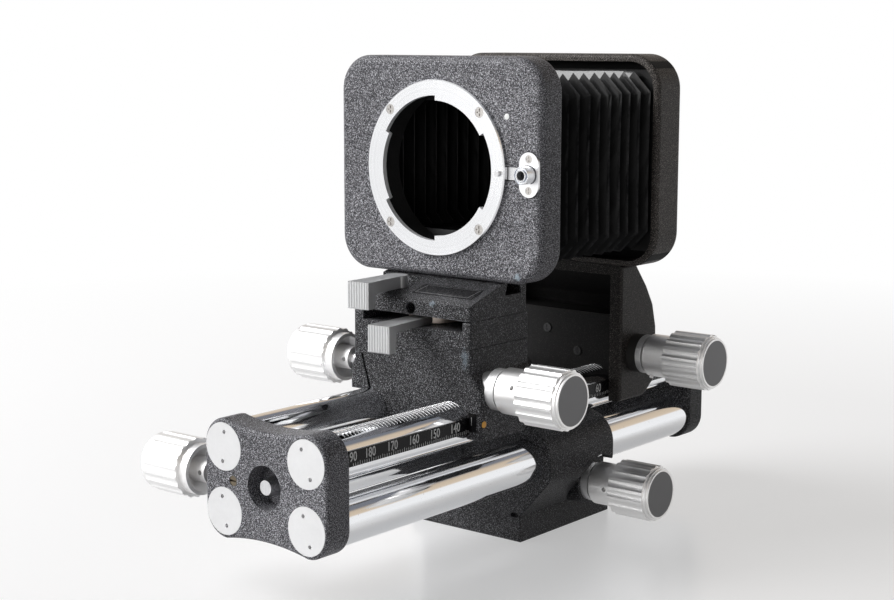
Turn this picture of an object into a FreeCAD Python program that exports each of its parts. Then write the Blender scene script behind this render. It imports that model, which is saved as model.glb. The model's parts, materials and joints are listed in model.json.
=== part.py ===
import FreeCAD, Part
import math
import os

os.makedirs("parts", exist_ok=True)

# Macro bellows unit, in millimetres.
# X runs to the right seen from the lens end, Y from the lens end to the camera end, Z up.
# The origin is the mouth of the tripod socket, in the underside of the foot.

# Clearances
running_gap = 0.06      # radial: shafts in bushes, carriages on their tubes
moving_gap = 0.3        # between pieces that pass each other
seat_gap = 0.02         # around a piece that is fixed in its seat

# Rail: four tubes between two end plates
rail_height = 39.0      # middle of the rail above the foot's underside
rail_front = -123.0     # rear face of the front end plate
rail_length = 189.5     # between the end plates
tube_radius = 7.5
tube_wall = 2.75
tube_bore = tube_radius - tube_wall
tube_side = 17.25       # tube axes left and right of the middle
tube_rise = tube_radius + 2.56  # tube axes above and below the middle
tube_edge = tube_side + tube_radius  # outer side of the tubes
upper_axis = rail_height + tube_rise
lower_axis = rail_height - tube_rise
rail_rear = rail_front + rail_length
plate_thickness = 10.35
plate_side = tube_edge + 0.85  # half width of an end plate
plate_rise = tube_rise + tube_radius + 1.24  # half height of an end plate at its lobes
plate_waist = plate_rise - 1.8  # half height of an end plate at its middle
plate_lobe = tube_radius + 1.0  # corner radius of an end plate
plate_edge = 1.4        # rounding of an end plate's rims
cap_flange = 1.6        # thickness of a tube end cap's disc
cap_plug = 5.0          # length of the plug on an end cap
cap_hole = 0.65         # radius of an end cap's two spanner holes
cap_hole_side = 4.6     # spanner holes from the cap's middle
cap_hole_depth = 1.2
cap_turns = (-11.0, 5.0, -16.0, -22.0)  # degrees from upright: both left caps from below, then both right
socket_radius = 6.9     # recess in the front end plate
socket_depth = 6.5
pin_root_radius = 3.4   # tapered centre pin in that recess
pin_tip_radius = 2.3
pin_stem_length = 2.5   # centre pin inside the plate
pin_short = 0.6         # centre pin behind the plate's front face
set_screw_x = -13.3
set_screw_radius = 1.6
set_screw_length = 2.6
screw_slot = 0.6        # width of a slot in a screw's head
screw_slot_depth = 0.8

# Rack and pinions
gear_module = 0.5
pinion_teeth = 20
pressure_angle = 20.0
backlash = 0.08         # play between rack and pinion, on the pitch line
rack_margin = 1.5       # rack teeth short of each end plate
pinion_width = 8.2
shaft_radius = 2.5
shaft_tail = 4.0        # shaft inside the casting, past the pinion
scale_flat = tube_radius - 0.7  # flat for the scale from the tube's axis
strip_thickness = 0.45
strip_height = 4.8
strip_rise = 0.54       # middle of the scale strip above the tube's axis
strip_margin = 0.3      # scale strip short of each end plate

# Knobs
knob_radius = 9.7
knob_length = 13.9
knob_flutes = 18
flute_radius = 2.2
flute_depth = 0.45
knob_rim_radius = 9.0
knob_rim = 1.1
knob_lip_radius = 8.5  # lip around a knob's cap
knob_lip = 0.7
cap_radius = 7.85
cap_thickness = 1.2
collar_radius = 7.45
collar_length = 10.0
collar_bevel = 0.8
grub_radius = 0.8
grub_from_flutes = 2.8
front_grub_turn = 22.0  # degrees that the front drive knob's grub screw is turned up from the front
rear_grub_turn = -65.0  # and the rear drive knob's, which points down
rear_grub_from_flutes = 7.7
shaft_in_knob = 20.0
lock_knob_radius = 9.5
lock_knob_length = 14.8
lock_knob_rim = 1.4
lock_ring_radius = 8.1
lock_ring = 3.5
lock_mouth_radius = 7.0  # mouth of the recess that faces the casting
lock_mouth_depth = 3.4
lock_hub_radius = 4.0
lock_hub_stand = 3.5    # hub stands out of the lock knob's ring
lock_stand = 5.5        # lock knob's ring away from its casting
lock_dish = 0.6         # depth of the dish in a lock knob's end
screw_in_knob = 6.0     # lock screw inside the knob's barrel
lock_screw_radius = 2.5
lock_screw_depth = 16.0  # lock screw inside its casting
accessory_screw_radius = 1.9

# Bearing bushes
bush_radius = 5.2
bush_flange_radius = 6.8
front_bush_flange = 3.3
rear_bush_flange = 6.0
focus_bush_flange = 2.7
knob_gap = 0.3          # drive knob's collar away from its bush

# Front carriage and what stands on it
front_face = -66.8      # front face of the front carriage
front_length = 30.8
ear_side = tube_edge + 1.25  # left side of the clamp ear
front_side = ear_side - 0.5  # right side of the upper block and of the head
front_left = ear_side - 1.6  # their left side
front_top = 82.9        # top of the carriage
cheek_side = tube_edge + 5.05  # outer face of the cheek that wraps the right tube
cheek_bottom = 45.0
cheek_start = 60.5      # height where the flare to the cheek ends
flare_start = 66.0      # height where the flare to the cheek starts
ear_top = 62.0          # height where the clamp ear starts to lean in
cheek_notch = 8.0       # length of the notch at the cheek's lower rear corner
cheek_notch_rise = 6.0
ear_bottom = upper_axis + tube_radius - 0.86  # underside of the clamp ear over the left tube
slit_width = 0.9
casting_round = 1.2     # rounding of a casting's edges
front_drive_y = -58.5
front_lock_y = -62.0
lock_height = 64.5      # lock screws above the foot, on both carriages
seam_height = 74.2
seam_depth = 0.35
seam_width = 0.3
seam_start = 14.0       # left end of the parting line on the front face
slot_floor = 79.5       # floor of the swing lock slot
slot_left = -20.0
slot_right = 22.1
slot_depth = 25.5

swing_axis_y = -53.0
pivot_radius = 3.0
pivot_foot = 69.0       # lower end of the swing pivot
pivot_in_head = 5.5
hub_radius = 9.0
head_top = 93.7
head_nose = 88.6        # top of the head's upright nose
head_length = 29.7
head_hole_depth = 8.0
head_slope_run = 16.9   # front face to the top of the slope
head_hole_x = 0.6
head_hole_radius = 1.9
head_hole_height = 85.2
name_left = -2.0
name_width = 24.5
name_depth = 6.8
name_start = 3.9        # lower edge of the name field behind the head's front face
name_thickness = 0.6
name_proud = 0.15       # nameplate above the slope
pointer_left = tube_side + scale_flat + strip_thickness + 0.5  # index pointer beside the scale
pointer_width = 2.8
pointer_bottom = 48.0
pointer_height = 6.0
pointer_proud = 0.3

lever_width = 8.25
lever_block_depth = 3.8
lever_block_slant = 0.7  # how far the back of a thumb block runs into its arm
lever_block_height = 8.8
lever_ribs = 8
lever_rib_radius = 0.42
lever_neck = 6.4        # width of a lever at its pivot
swing_lever_reach = 32.8
swing_lever_top = 82.0
swing_lever_thickness = 2.3
swing_lever_turn = 5.4  # degrees from straight ahead, to the right
shift_lever_x = -11.5
shift_lever_y = -60.0
shift_lever_reach = 21.2
shift_lever_top = 94.2
shift_lever_thickness = 4.0
shift_lever_turn = 5.0
shift_hub_radius = 3.8
shift_spindle_radius = 2.4
shift_pocket_right = -6.4
shift_pocket_floor = 90.0
shift_pocket_depth = 15.1  # length of the pocket along the rail
shift_spindle_depth = 6.0

optical_height = 129.5  # lens and camera axis above the foot
panel_front = -53.0
panel_thickness = 12.0
panel_corner = 11.5
panel_edge = 2.6
foot_half = 14.0        # half length of the panel's dovetail foot
foot_narrow = 6.0
foot_wide = 8.4
foot_height = 4.0
foot_middle = 8.2       # middle of the dovetail behind the panel's front face
throat_radius = 25.5    # hole in the panel behind the lens ring

ring_radius = 28.7
ring_proud = 1.4        # lens ring in front of the panel's face
ring_sunk = 0.3
ring_bore = 23.6
tab_bore = 22.0
tab_angle = 58.0
ring_screw_circle = 26.4
ring_screw_radius = 1.7
spring_ring_inner = 23.9
spring_ring_thickness = 0.4
lock_pin_radius = 0.9
lock_pin_proud = 1.0
leaf_height = 4.0
leaf_thickness = 1.0
leaf_sink = 0.6         # leaf behind the panel's face
spring_room = 2.2       # release spring when the button is pressed
release_x = 37.6
release_height = optical_height - 0.3
release_plate_width = 7.4
release_plate_height = 14.2
release_plate_proud = 0.5
release_plate_thickness = 1.0
release_screw_rise = 4.95
release_screw_radius = 1.25
release_travel = 1.8
button_radius = 2.8
button_collar_radius = 3.3
button_proud = 4.8
spring_outer = 2.4
spring_inner = 1.7

# Bellows
bellows_side = 38.0
bellows_rise = 30.9
bellows_corner = 7.0
fold_count = 10
fold_depth = 8.4
fold_corner_share = 0.45  # how much the corner chamfer shrinks with the fold
skin = 1.05             # step from the outer to the inner skin, across the optical axis
bellows_frame_thickness = 1.0
bellows_frame_margin = 0.4
bellows_rear_y = 18.5

# Rear carriage, its frame and the camera mount
rear_face = 12.7        # front edges of the rear carriage's cheeks
rear_side = tube_edge + 4.75
rear_foot_front = 15.5
rear_back = 36.4
rear_neck_back = 22.3
rear_top = 93.0
rear_drive_y = 23.0
rear_wall = 3.5
rear_hollow_side = rear_side - 4.7
rear_hollow_bottom = 75.0
rear_hollow_top = 89.5
rear_frame_front = 11.0
rear_frame_depth = 15.0
rear_frame_corner = 12.0
rear_frame_lip = 1.5    # rounding of the rear frame's front rim
rear_recess_corner = 9.6
rear_recess_depth = 9.0
camera_throat = 21.0
mount_flange_radius = 29.0
mount_flange = 3.0
mount_tube_radius = 21.85
mount_bore = 19.5
mount_tube_length = 5.6
mount_tab_radius = 23.4
mount_tab_thickness = 1.5
mount_screw_circle = 25.6
mount_boss_radius = 24.6
mount_boss = 3.5
camera_button_radius = 2.6
camera_button_depth = 4.5
camera_button_x = -34.0
camera_button_z = optical_height - 22.5
camera_button_proud = 2.2
camera_button_travel = 1.5
web_screw_radius = 1.6
web_screw_length = 4.0
web_screw_places = ((-4.0, 67.5), (9.4, 60.5))

# Tripod block
block_front = -26.5
block_length = 38.6
block_side = tube_edge + 3.25
block_top = upper_axis - tube_radius - 0.36
block_slant_top = 23.5    # the right side leans in from here
block_slant_bottom = 9.3  # down to here
foot_right = 15.4
foot_left = -33.0
foot_lip = 4.5
foot_rear = 27.5
block_round = 11.0       # rounding of the block's long top edges
block_rear_round = 1.0
block_front_round = 0.5
block_rear_foot = 21.2    # the rear slopes out to the foot below this
block_slant_round = 7.0  # rounding where the right side starts to lean in
spot_radius = 10.4       # flat around the focus drive's bush
focus_drive_y = 4.6
block_boss_radius = 8.2
block_boss_side = 23.5
core_depth = 5.5         # hollow in the front of the block, with a floor that slopes up into it
core_left = -24.0
core_right = 9.2
core_slant = 6.5         # height where the hollow's right wall starts to lean out
core_lean = 7.8
core_bottom = 4.4
core_rise = 3.2
core_top = 17.6
core_round = 2.0
tripod_thread_radius = 3.175
tripod_thread_length = 10.0
tripod_bush_radius = 6.0

# Sizes that follow from the ones above
panel_side = bellows_side + 4.3
panel_bottom = head_top + 0.25
panel_top = optical_height + bellows_rise + 5.4
rear_recess_side = bellows_side + 4.0
rear_recess_rise = bellows_rise + 3.3
rear_frame_side = rear_recess_side + 2.4
rear_frame_bottom = rear_top + 0.3
rear_frame_top = optical_height + rear_recess_rise + 2.5
pitch_radius = gear_module * pinion_teeth / 2
tip_radius = pitch_radius + gear_module
rack_pitch = math.pi * gear_module
pinion_rise = tube_radius - gear_module + pitch_radius  # pinion axis from the tube's axis
pinion_left = tube_side - pinion_width / 2
pinion_right = tube_side + pinion_width / 2
rack_start = rail_front + rack_margin + rack_pitch / 2  # middle of the first gap between rack teeth
upper_drive_height = upper_axis + pinion_rise
focus_height = lower_axis - pinion_rise
accessory_y = rail_front - plate_thickness / 2
accessory_height = rail_height - 0.4
accessory_depth = plate_side - socket_radius - 4.0
head_floor = front_top + moving_gap / 2
leaf_room = leaf_sink + leaf_thickness + release_travel + spring_room
front_knob_start = cheek_side + front_bush_flange + knob_gap
rear_knob_start = rear_side + rear_bush_flange + knob_gap
focus_knob_start = block_boss_side + focus_bush_flange + knob_gap


def point(x, y, z):
    return FreeCAD.Vector(x, y, z)


def box(x0, x1, y0, y1, z0, z1):
    return Part.makeBox(x1 - x0, y1 - y0, z1 - z0, point(x0, y0, z0))


def rod_x(radius, x0, x1, y, z):
    return Part.makeCylinder(radius, abs(x1 - x0), point(min(x0, x1), y, z), point(1, 0, 0))


def rod_y(radius, y0, y1, x, z):
    return Part.makeCylinder(radius, abs(y1 - y0), point(x, min(y0, y1), z), point(0, 1, 0))


def rod_z(radius, z0, z1, x, y):
    return Part.makeCylinder(radius, abs(z1 - z0), point(x, y, min(z0, z1)), point(0, 0, 1))


def prism(points, push):
    # A closed outline of points, pushed along a vector into a solid.
    return Part.Face(Part.makePolygon(points + points[:1])).extrude(push)


def section_xz(pairs, y0, y1):
    return prism([point(x, y0, z) for x, z in pairs], point(0, y1 - y0, 0))


def section_yz(pairs, x0, x1):
    return prism([point(x0, y, z) for y, z in pairs], point(x1 - x0, 0, 0))


def section_xy(pairs, z0, z1):
    return prism([point(x, y, z0) for x, y in pairs], point(0, 0, z1 - z0))


def edges_in_plane(shape, axis, value):
    # The edges whose X, Y or Z (axis 0, 1 or 2) is the same value all along.
    found = []
    for edge in shape.Edges:
        bounds = edge.BoundBox
        low = (bounds.XMin, bounds.YMin, bounds.ZMin)[axis]
        high = (bounds.XMax, bounds.YMax, bounds.ZMax)[axis]
        if abs(low - value) < 0.01 and abs(high - value) < 0.01:
            found.append(edge)
    return found


def edges_along(shape, axis):
    # The straight edges that run along X, Y or Z (axis 0, 1 or 2).
    found = []
    for edge in shape.Edges:
        bounds = edge.BoundBox
        lengths = [bounds.XLength, bounds.YLength, bounds.ZLength]
        along = lengths.pop(axis)
        if along > 0.1 and max(lengths) < 0.001:
            found.append(edge)
    return found


def rounded_panel(side, bottom, top, y0, y1, corner, front_edge, rear_edge):
    # An upright panel with round corners and softened front and rear rims.
    panel = box(-side, side, y0, y1, bottom, top)
    panel = panel.makeFillet(corner, edges_along(panel, 1))
    panel = panel.makeFillet(front_edge, edges_in_plane(panel, 1, y0))
    return panel.makeFillet(rear_edge, edges_in_plane(panel, 1, y1))


def turned(shape, x, y, degrees):
    # Turned about an upright axis.
    copy = shape.copy()
    copy.rotate(point(x, y, 0), point(0, 0, 1), degrees)
    return copy


def sector_y(radius, y0, y1, z, middle, width):
    # A pie slice about the optical axis; angles run from +X towards +Z, seen from the front.
    slice_ = Part.makeCylinder(radius, y1 - y0, point(0, 0, 0), point(0, 0, 1), width)
    slice_.rotate(point(0, 0, 0), point(0, 0, 1), middle - width / 2)
    slice_.rotate(point(0, 0, 0), point(1, 0, 0), 90)
    slice_.translate(point(0, y1, z))
    return slice_


# ---- Rail ----

def end_plate(y0):
    centre_x = plate_side - plate_lobe
    centre_z = plate_rise - plate_lobe
    bend = plate_lobe * math.sqrt(0.5)

    def at(x, z):
        return point(x, y0, rail_height + z)

    def lobe(across, up):
        side = at(across * plate_side, up * centre_z)
        corner = at(across * (centre_x + bend), up * (centre_z + bend))
        top = at(across * centre_x, up * plate_rise)
        return Part.Arc(side, corner, top)

    edges = [lobe(across, up) for across in (-1, 1) for up in (-1, 1)]
    for side in (-1, 1):
        edges.append(Part.LineSegment(at(side * plate_side, centre_z), at(side * plate_side, -centre_z)))
        rise = side * plate_rise
        edges.append(Part.Arc(at(-centre_x, rise), at(0, side * plate_waist), at(centre_x, rise)))
    wire = Part.Wire(Part.__sortEdges__([edge.toShape() for edge in edges]))
    plate = Part.Face(wire).extrude(point(0, plate_thickness, 0))
    y1 = y0 + plate_thickness
    plate = plate.makeFillet(plate_edge, edges_in_plane(plate, 1, y0) + edges_in_plane(plate, 1, y1))
    return plate.cut([rod_y(tube_radius + seat_gap, y0 - 1, y1 + 1, x, z) for x, z in tube_axes()])


def tube_axes():
    return [(x, z) for x in (-tube_side, tube_side) for z in (lower_axis, upper_axis)]


def front_end_plate():
    y0 = rail_front - plate_thickness
    plate = end_plate(y0)
    plate = plate.cut(rod_y(socket_radius, y0 - 1, y0 + socket_depth, 0, rail_height))
    stem_end = y0 + socket_depth + pin_stem_length
    plate = plate.cut(rod_y(pin_root_radius - 1 + seat_gap, y0, stem_end, 0, rail_height))
    screw_end = y0 + set_screw_length
    plate = plate.cut(rod_y(set_screw_radius + seat_gap, y0 - 1, screw_end, set_screw_x, rail_height))
    hole_end = -plate_side + accessory_depth + moving_gap
    hole_radius = accessory_screw_radius + running_gap
    return plate.cut(rod_x(hole_radius, -plate_side - 1, hole_end, accessory_y, accessory_height))


def rear_end_plate():
    return end_plate(rail_rear)


def centre_pin():
    root = rail_front - plate_thickness + socket_depth
    stem = rod_y(pin_root_radius - 1, root, root + pin_stem_length, 0, rail_height)
    taper = socket_depth - pin_short
    start = point(0, root, rail_height)
    return stem.fuse(Part.makeCone(pin_root_radius, pin_tip_radius, taper, start, point(0, -1, 0)))


def end_plate_set_screw():
    y0 = rail_front - plate_thickness
    screw = rod_y(set_screw_radius, y0 + 0.2, y0 + set_screw_length, set_screw_x, rail_height)
    low = rail_height - screw_slot / 2
    high = rail_height + screw_slot / 2
    return screw.cut(box(set_screw_x - 3, set_screw_x + 3, y0 - 1, y0 + 0.2 + screw_slot_depth, low, high))


def plain_tube(x, z):
    y0 = rail_front - plate_thickness + cap_flange
    y1 = rail_rear + plate_thickness - cap_flange
    tube = rod_y(tube_radius, y0, y1, x, z)
    return tube.cut(rod_y(tube_bore, y0 - 1, y1 + 1, x, z))


def rack_gaps(tube_axis, up):
    # The gaps between rack teeth, as one cutter for each; up is 1 on top of a tube and -1 below it.
    slant = math.tan(math.radians(pressure_angle))
    tip = tube_radius + 0.5
    root = tube_radius - 2.2 * gear_module
    pitch_line = tube_radius - gear_module
    wide = rack_pitch / 4 + (tip - pitch_line) * slant
    narrow = rack_pitch / 4 + (root - pitch_line) * slant
    cutters = []
    count = int((rail_length - 2 * rack_margin) / rack_pitch)
    for k in range(count):
        y = rack_start + k * rack_pitch
        corners = [
            (y - wide, tube_axis + up * tip),
            (y + wide, tube_axis + up * tip),
            (y + narrow, tube_axis + up * root),
            (y - narrow, tube_axis + up * root),
        ]
        cutters.append(section_yz(corners, tube_side - tube_radius, tube_side + tube_radius))
    return cutters


def rack_tube(tube_axis, up):
    # The teeth are cut straight into the round of the tube.
    return plain_tube(tube_side, tube_axis).cut(rack_gaps(tube_axis, up))


def upper_right_tube():
    x0 = tube_side + scale_flat
    waste = box(x0, x0 + 3, rail_front, rail_rear, upper_axis - tube_radius, upper_axis + tube_radius)
    return rack_tube(upper_axis, 1).cut(waste)


def lower_right_tube():
    return rack_tube(lower_axis, -1)


def upper_left_tube():
    return plain_tube(-tube_side, upper_axis)


def lower_left_tube():
    return plain_tube(-tube_side, lower_axis)


def scale_strip():
    x0 = tube_side + scale_flat
    y0 = rail_front + strip_margin
    y1 = rail_rear - strip_margin
    low = upper_axis + strip_rise - strip_height / 2
    return box(x0, x0 + strip_thickness, y0, y1, low, low + strip_height)


def tube_end_caps():
    caps = []
    for (x, z), degrees in zip(tube_axes(), cap_turns):
        for end, inward in ((rail_front - plate_thickness, 1), (rail_rear + plate_thickness, -1)):
            disc_end = end + inward * cap_flange
            plug_end = disc_end + inward * cap_plug
            cap = rod_y(tube_radius - seat_gap, end, disc_end, x, z)
            cap = cap.fuse(rod_y(tube_bore - seat_gap, disc_end, plug_end, x, z))
            turn = math.radians(degrees)
            for side in (-1, 1):
                hole_x = x + side * cap_hole_side * math.sin(turn)
                hole_z = z + side * cap_hole_side * math.cos(turn)
                cap = cap.cut(rod_y(cap_hole, end - inward, end + inward * cap_hole_depth, hole_x, hole_z))
            caps.append(cap)
    return Part.makeCompound(caps)


# ---- Knobs, shafts and locks ----

def drive_knob(x0, y, z, grub_turn=0.0, grub_gap=grub_from_flutes):
    # Turned knob on the right: bevelled collar, fluted barrel, a plain rim and a lip around its cap.
    barrel_start = x0 + collar_length
    barrel_end = barrel_start + knob_length
    rim_end = barrel_end + knob_rim
    lip_end = rim_end + knob_lip
    inner = collar_radius - collar_bevel
    bevel = Part.makeCone(inner, collar_radius, collar_bevel, point(x0, y, z), point(1, 0, 0))
    collar = rod_x(collar_radius, x0 + collar_bevel, barrel_start, y, z)
    knob = fluted_barrel(knob_radius, barrel_start, barrel_end, y, z)
    knob = knob.fuse([bevel, collar, rod_x(knob_rim_radius, barrel_end, rim_end, y, z)])
    knob = knob.fuse(rod_x(knob_lip_radius, rim_end, lip_end, y, z))
    knob = knob.cut(rod_x(cap_radius + seat_gap, lip_end - cap_thickness, lip_end + 1, y, z))
    knob = knob.cut(rod_x(shaft_radius + seat_gap, x0 - 1, x0 + shaft_in_knob, y, z))
    grub = rod_y(grub_radius, y - collar_radius - 1, y, barrel_start - grub_gap, z)
    grub.rotate(point(0, y, z), point(1, 0, 0), -grub_turn)
    return knob.cut(grub)


def fluted_barrel(radius, x0, x1, y, z):
    cutters = []
    reach = radius + flute_radius - flute_depth
    for k in range(knob_flutes):
        turn = 2 * math.pi * k / knob_flutes
        flute_y = y + reach * math.cos(turn)
        flute_z = z + reach * math.sin(turn)
        cutters.append(rod_x(flute_radius, min(x0, x1) - 1, max(x0, x1) + 1, flute_y, flute_z))
    return rod_x(radius, x0, x1, y, z).cut(cutters)


def knob_cap(x0, y, z):
    end = x0 + collar_length + knob_length + knob_rim + knob_lip
    return rod_x(cap_radius, end - cap_thickness, end, y, z)


def pinion_outline(phase):
    # One closed outline of involute teeth as (across, up) pairs; phase turns the first tooth.
    angle = math.radians(pressure_angle)
    base = pitch_radius * math.cos(angle)
    root = pitch_radius - 1.3 * gear_module
    half_tooth = math.pi / (2 * pinion_teeth) - backlash / (2 * pitch_radius)
    flank = []
    steps = 4
    for k in range(steps + 1):
        radius = base + (tip_radius - base) * k / steps
        roll = math.acos(base / radius)
        half = half_tooth + (math.tan(angle) - angle) - (math.tan(roll) - roll)
        flank.append((radius, half))
    flank.insert(0, (root, flank[0][1]))
    outline = []
    for tooth in range(pinion_teeth):
        middle = phase + 2 * math.pi * tooth / pinion_teeth
        for radius, half in flank:
            outline.append((radius * math.cos(middle - half), radius * math.sin(middle - half)))
        for radius, half in reversed(flank):
            outline.append((radius * math.cos(middle + half), radius * math.sin(middle + half)))
    return outline


def pinion_shaft(y, tube_axis, up, knob_start):
    # The pinion is in mesh: a tooth stands in the rack gap nearest to the shaft.
    z = tube_axis + up * pinion_rise
    nearest = rack_start + rack_pitch * round((y - rack_start) / rack_pitch)
    phase = up * ((nearest - y) / pitch_radius - math.pi / 2)
    outline = [(y + across, z + rise) for across, rise in pinion_outline(phase)]
    gear = section_yz(outline, pinion_left, pinion_right)
    shaft = rod_x(shaft_radius, pinion_left - shaft_tail, knob_start + shaft_in_knob - 0.5, y, z)
    return gear.fuse(shaft)


def bearing_bush(y, z, wall, flange_end):
    # Flanged bush from the pinion's pocket out through the wall.
    start = pinion_right + moving_gap
    bush = rod_x(bush_radius, start, wall, y, z)
    bush = bush.fuse(rod_x(bush_flange_radius, wall, flange_end, y, z))
    return bush.cut(rod_x(shaft_radius + running_gap, start - 1, flange_end + 1, y, z))


def pinion_room(y, z, wall):
    # What a casting gives up for a pinion, its shaft and its bush.
    start = pinion_right + moving_gap
    pocket = rod_x(tip_radius + moving_gap, pinion_left - moving_gap, start, y, z)
    tail = rod_x(shaft_radius + running_gap, pinion_left - shaft_tail - moving_gap, start, y, z)
    seat = rod_x(bush_radius + seat_gap, start, wall + 1, y, z)
    return [pocket, tail, seat]


def lock_knob(face, y, z):
    # Turned lock knob on the left of the face: hub in a recess, ring, fluted barrel and rim.
    ring_start = face - lock_stand
    barrel_start = ring_start - lock_ring
    barrel_end = barrel_start - lock_knob_length
    rim_end = barrel_end - lock_knob_rim
    knob = fluted_barrel(lock_knob_radius, barrel_start, barrel_end, y, z)
    knob = knob.fuse([rod_x(lock_ring_radius, ring_start, barrel_start, y, z),
                      rod_x(knob_rim_radius, barrel_end, rim_end, y, z)])
    left = point(-1, 0, 0)
    mouth = point(ring_start, y, z)
    knob = knob.cut(Part.makeCone(lock_mouth_radius, lock_hub_radius, lock_mouth_depth, mouth, left))
    knob = knob.fuse(rod_x(lock_hub_radius, ring_start + lock_hub_stand, ring_start - lock_mouth_depth, y, z))
    end = point(rim_end, y, z)
    dish = Part.makeCone(cap_radius, cap_radius - lock_dish, lock_dish, end, point(1, 0, 0))
    grub_x = ring_start + lock_hub_stand / 2
    knob = knob.cut([dish, rod_y(grub_radius, y - lock_hub_radius - 1, y, grub_x, z)])
    return knob


def lock_screw(face, y, z, radius, depth):
    # Runs from inside the knob into the casting.
    return rod_x(radius, face - lock_stand - lock_ring - screw_in_knob, face + depth, y, z)


def bored_lock_knob(face, y, z, radius):
    start = face - lock_stand - lock_ring - screw_in_knob
    return lock_knob(face, y, z).cut(rod_x(radius + seat_gap, start, face, y, z))


# ---- Front carriage ----

def tube_rooms(y0, y1, rows):
    # Running bores for both tubes of each row named.
    radius = tube_radius + running_gap
    return [rod_y(radius, y0 - 1, y1 + 1, x, z) for x in (-tube_side, tube_side) for z in rows]


def strip_room(y0, y1):
    x1 = tube_side + scale_flat + strip_thickness + moving_gap
    middle = upper_axis + strip_rise
    half = strip_height / 2 + moving_gap
    return box(tube_side, x1, y0 - 1, y1 + 1, middle - half, middle + half)


def clamp_slit(y0, y1):
    # The gap that the lock screw closes, from the left tube's bore up past the screw.
    foot_x = -tube_side - 0.2
    top_x = foot_x - 3.7
    foot_z = ear_bottom
    top_z = lock_height + lock_screw_radius + 1.0
    corners = [(foot_x, foot_z), (foot_x + slit_width, foot_z), (top_x + slit_width, top_z), (top_x, top_z)]
    return section_xz(corners, y0 - 1, y1 + 1)


def front_carriage():
    y0 = front_face
    y1 = front_face + front_length
    outline = [
        (-front_left, front_top),
        (front_side, front_top),
        (front_side, flare_start),
        (cheek_side, cheek_start),
        (cheek_side, cheek_bottom),
        (-ear_side, cheek_bottom),
        (-ear_side, ear_top),
        (-front_left, flare_start),
    ]
    body = section_xz(outline, y0, y1)
    body = body.makeFillet(casting_round, edges_in_plane(body, 1, y0) + edges_in_plane(body, 1, y1))
    body = body.cut(box(-ear_side - 1, -tube_side, y0 - 1, y1 + 1, cheek_bottom - 1, ear_bottom))
    body = body.cut(cheek_corner(y1))
    body = body.cut(tube_rooms(y0, y1, [upper_axis]))
    body = body.cut([strip_room(y0, y1), clamp_slit(y0, y1)])
    slot = box(slot_left, slot_right, y0 - 1, y0 + slot_depth, slot_floor, front_top + 1)
    seam = seam_cut(y0, y1)
    body = body.cut([slot, seam])
    body = body.cut(pinion_room(front_drive_y, upper_drive_height, cheek_side))
    body = body.cut(lock_hole(-ear_side, front_lock_y, lock_height))
    bearing = rod_z(pivot_radius + running_gap, pivot_foot - moving_gap, front_top + 1, 0, swing_axis_y)
    return body.cut(bearing)


def cheek_corner(y1):
    # Waste at the cheek's lower rear corner, hollowed to a curve.
    x0 = cheek_side - 6
    top = cheek_bottom + cheek_notch_rise
    notch = box(x0, cheek_side + 1, y1 - cheek_notch, y1 + 1, cheek_bottom - 1, top)
    reach = cheek_notch + cheek_notch_rise
    return notch.cut(rod_x(reach, x0, cheek_side + 1, y1 - reach + 2, cheek_bottom + reach))


def seam_cut(y0, y1):
    # A shallow groove along the casting's parting line, on the front right and round the right side.
    low = seam_height - seam_width / 2
    high = seam_height + seam_width / 2
    front = box(seam_start, front_side + 1, y0 - 1, y0 + seam_depth, low, high)
    side = box(front_side - seam_depth, front_side + 1, y0 - 1, y1 + 1, low, high)
    return front.fuse(side)


def lock_hole(face, y, z):
    return rod_x(lock_screw_radius + running_gap, face - 1, face + lock_screw_depth + moving_gap, y, z)


def index_pointer():
    # Pointer block beside the scale, let into the cheek's front face.
    x1 = pointer_left + pointer_width
    top = pointer_bottom + pointer_height
    return box(pointer_left, x1, front_face - pointer_proud, front_face, pointer_bottom, top)


def swing_lock_hub():
    z0 = slot_floor + moving_gap
    z1 = swing_lever_top - swing_lever_thickness
    hub = rod_z(hub_radius, z0, front_top - moving_gap / 2, 0, swing_axis_y)
    hub = hub.cut(rod_z(pivot_radius + running_gap, z0 - 1, front_top + 1, 0, swing_axis_y))
    seat_front = swing_axis_y - hub_radius - 1
    seat = box(-4.0, 4.0, seat_front, swing_axis_y - pivot_radius - 1.5, z1, front_top + 1)
    return hub.cut(turned(seat, 0, swing_axis_y, swing_lever_turn))


def lever(x, y, reach, top, thickness, width_back, hub, turn):
    # A lever that points to the front: a ribbed thumb block on an arm.
    front = y - reach
    half = lever_width / 2
    back = y - hub
    half_back = width_back / 2
    arm_front = front + 0.5
    arm_pairs = [(x - half, arm_front), (x + half, arm_front), (x + half_back, back), (x - half_back, back)]
    arm = section_xy(arm_pairs, top - thickness, top)
    low = top - lever_block_height
    block_pairs = [
        (front, top),
        (front, low + 0.6),
        (front + 0.6, low),
        (front + lever_block_depth, low),
        (front + lever_block_depth + lever_block_slant, top - thickness),
        (front + lever_block_depth + lever_block_slant, top),
    ]
    block = section_yz(block_pairs, x - half, x + half)
    ribs = []
    for k in range(lever_ribs + 1):
        rib_x = x - half + lever_width * k / lever_ribs
        ribs.append(rod_z(lever_rib_radius, low - 1, top + 1, rib_x, front))
    return turned(arm.fuse(block.cut(ribs)), x, y, turn)


def swing_lock_lever():
    # Its tail lies in the seat that is milled in the hub.
    tail = pivot_radius + 1.7
    top = swing_lever_top
    thick = swing_lever_thickness
    return lever(0, swing_axis_y, swing_lever_reach, top, thick, lever_neck, tail, swing_lever_turn)


# ---- Swing head ----

def swing_pivot():
    return rod_z(pivot_radius, pivot_foot, head_floor + pivot_in_head, 0, swing_axis_y)


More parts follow.
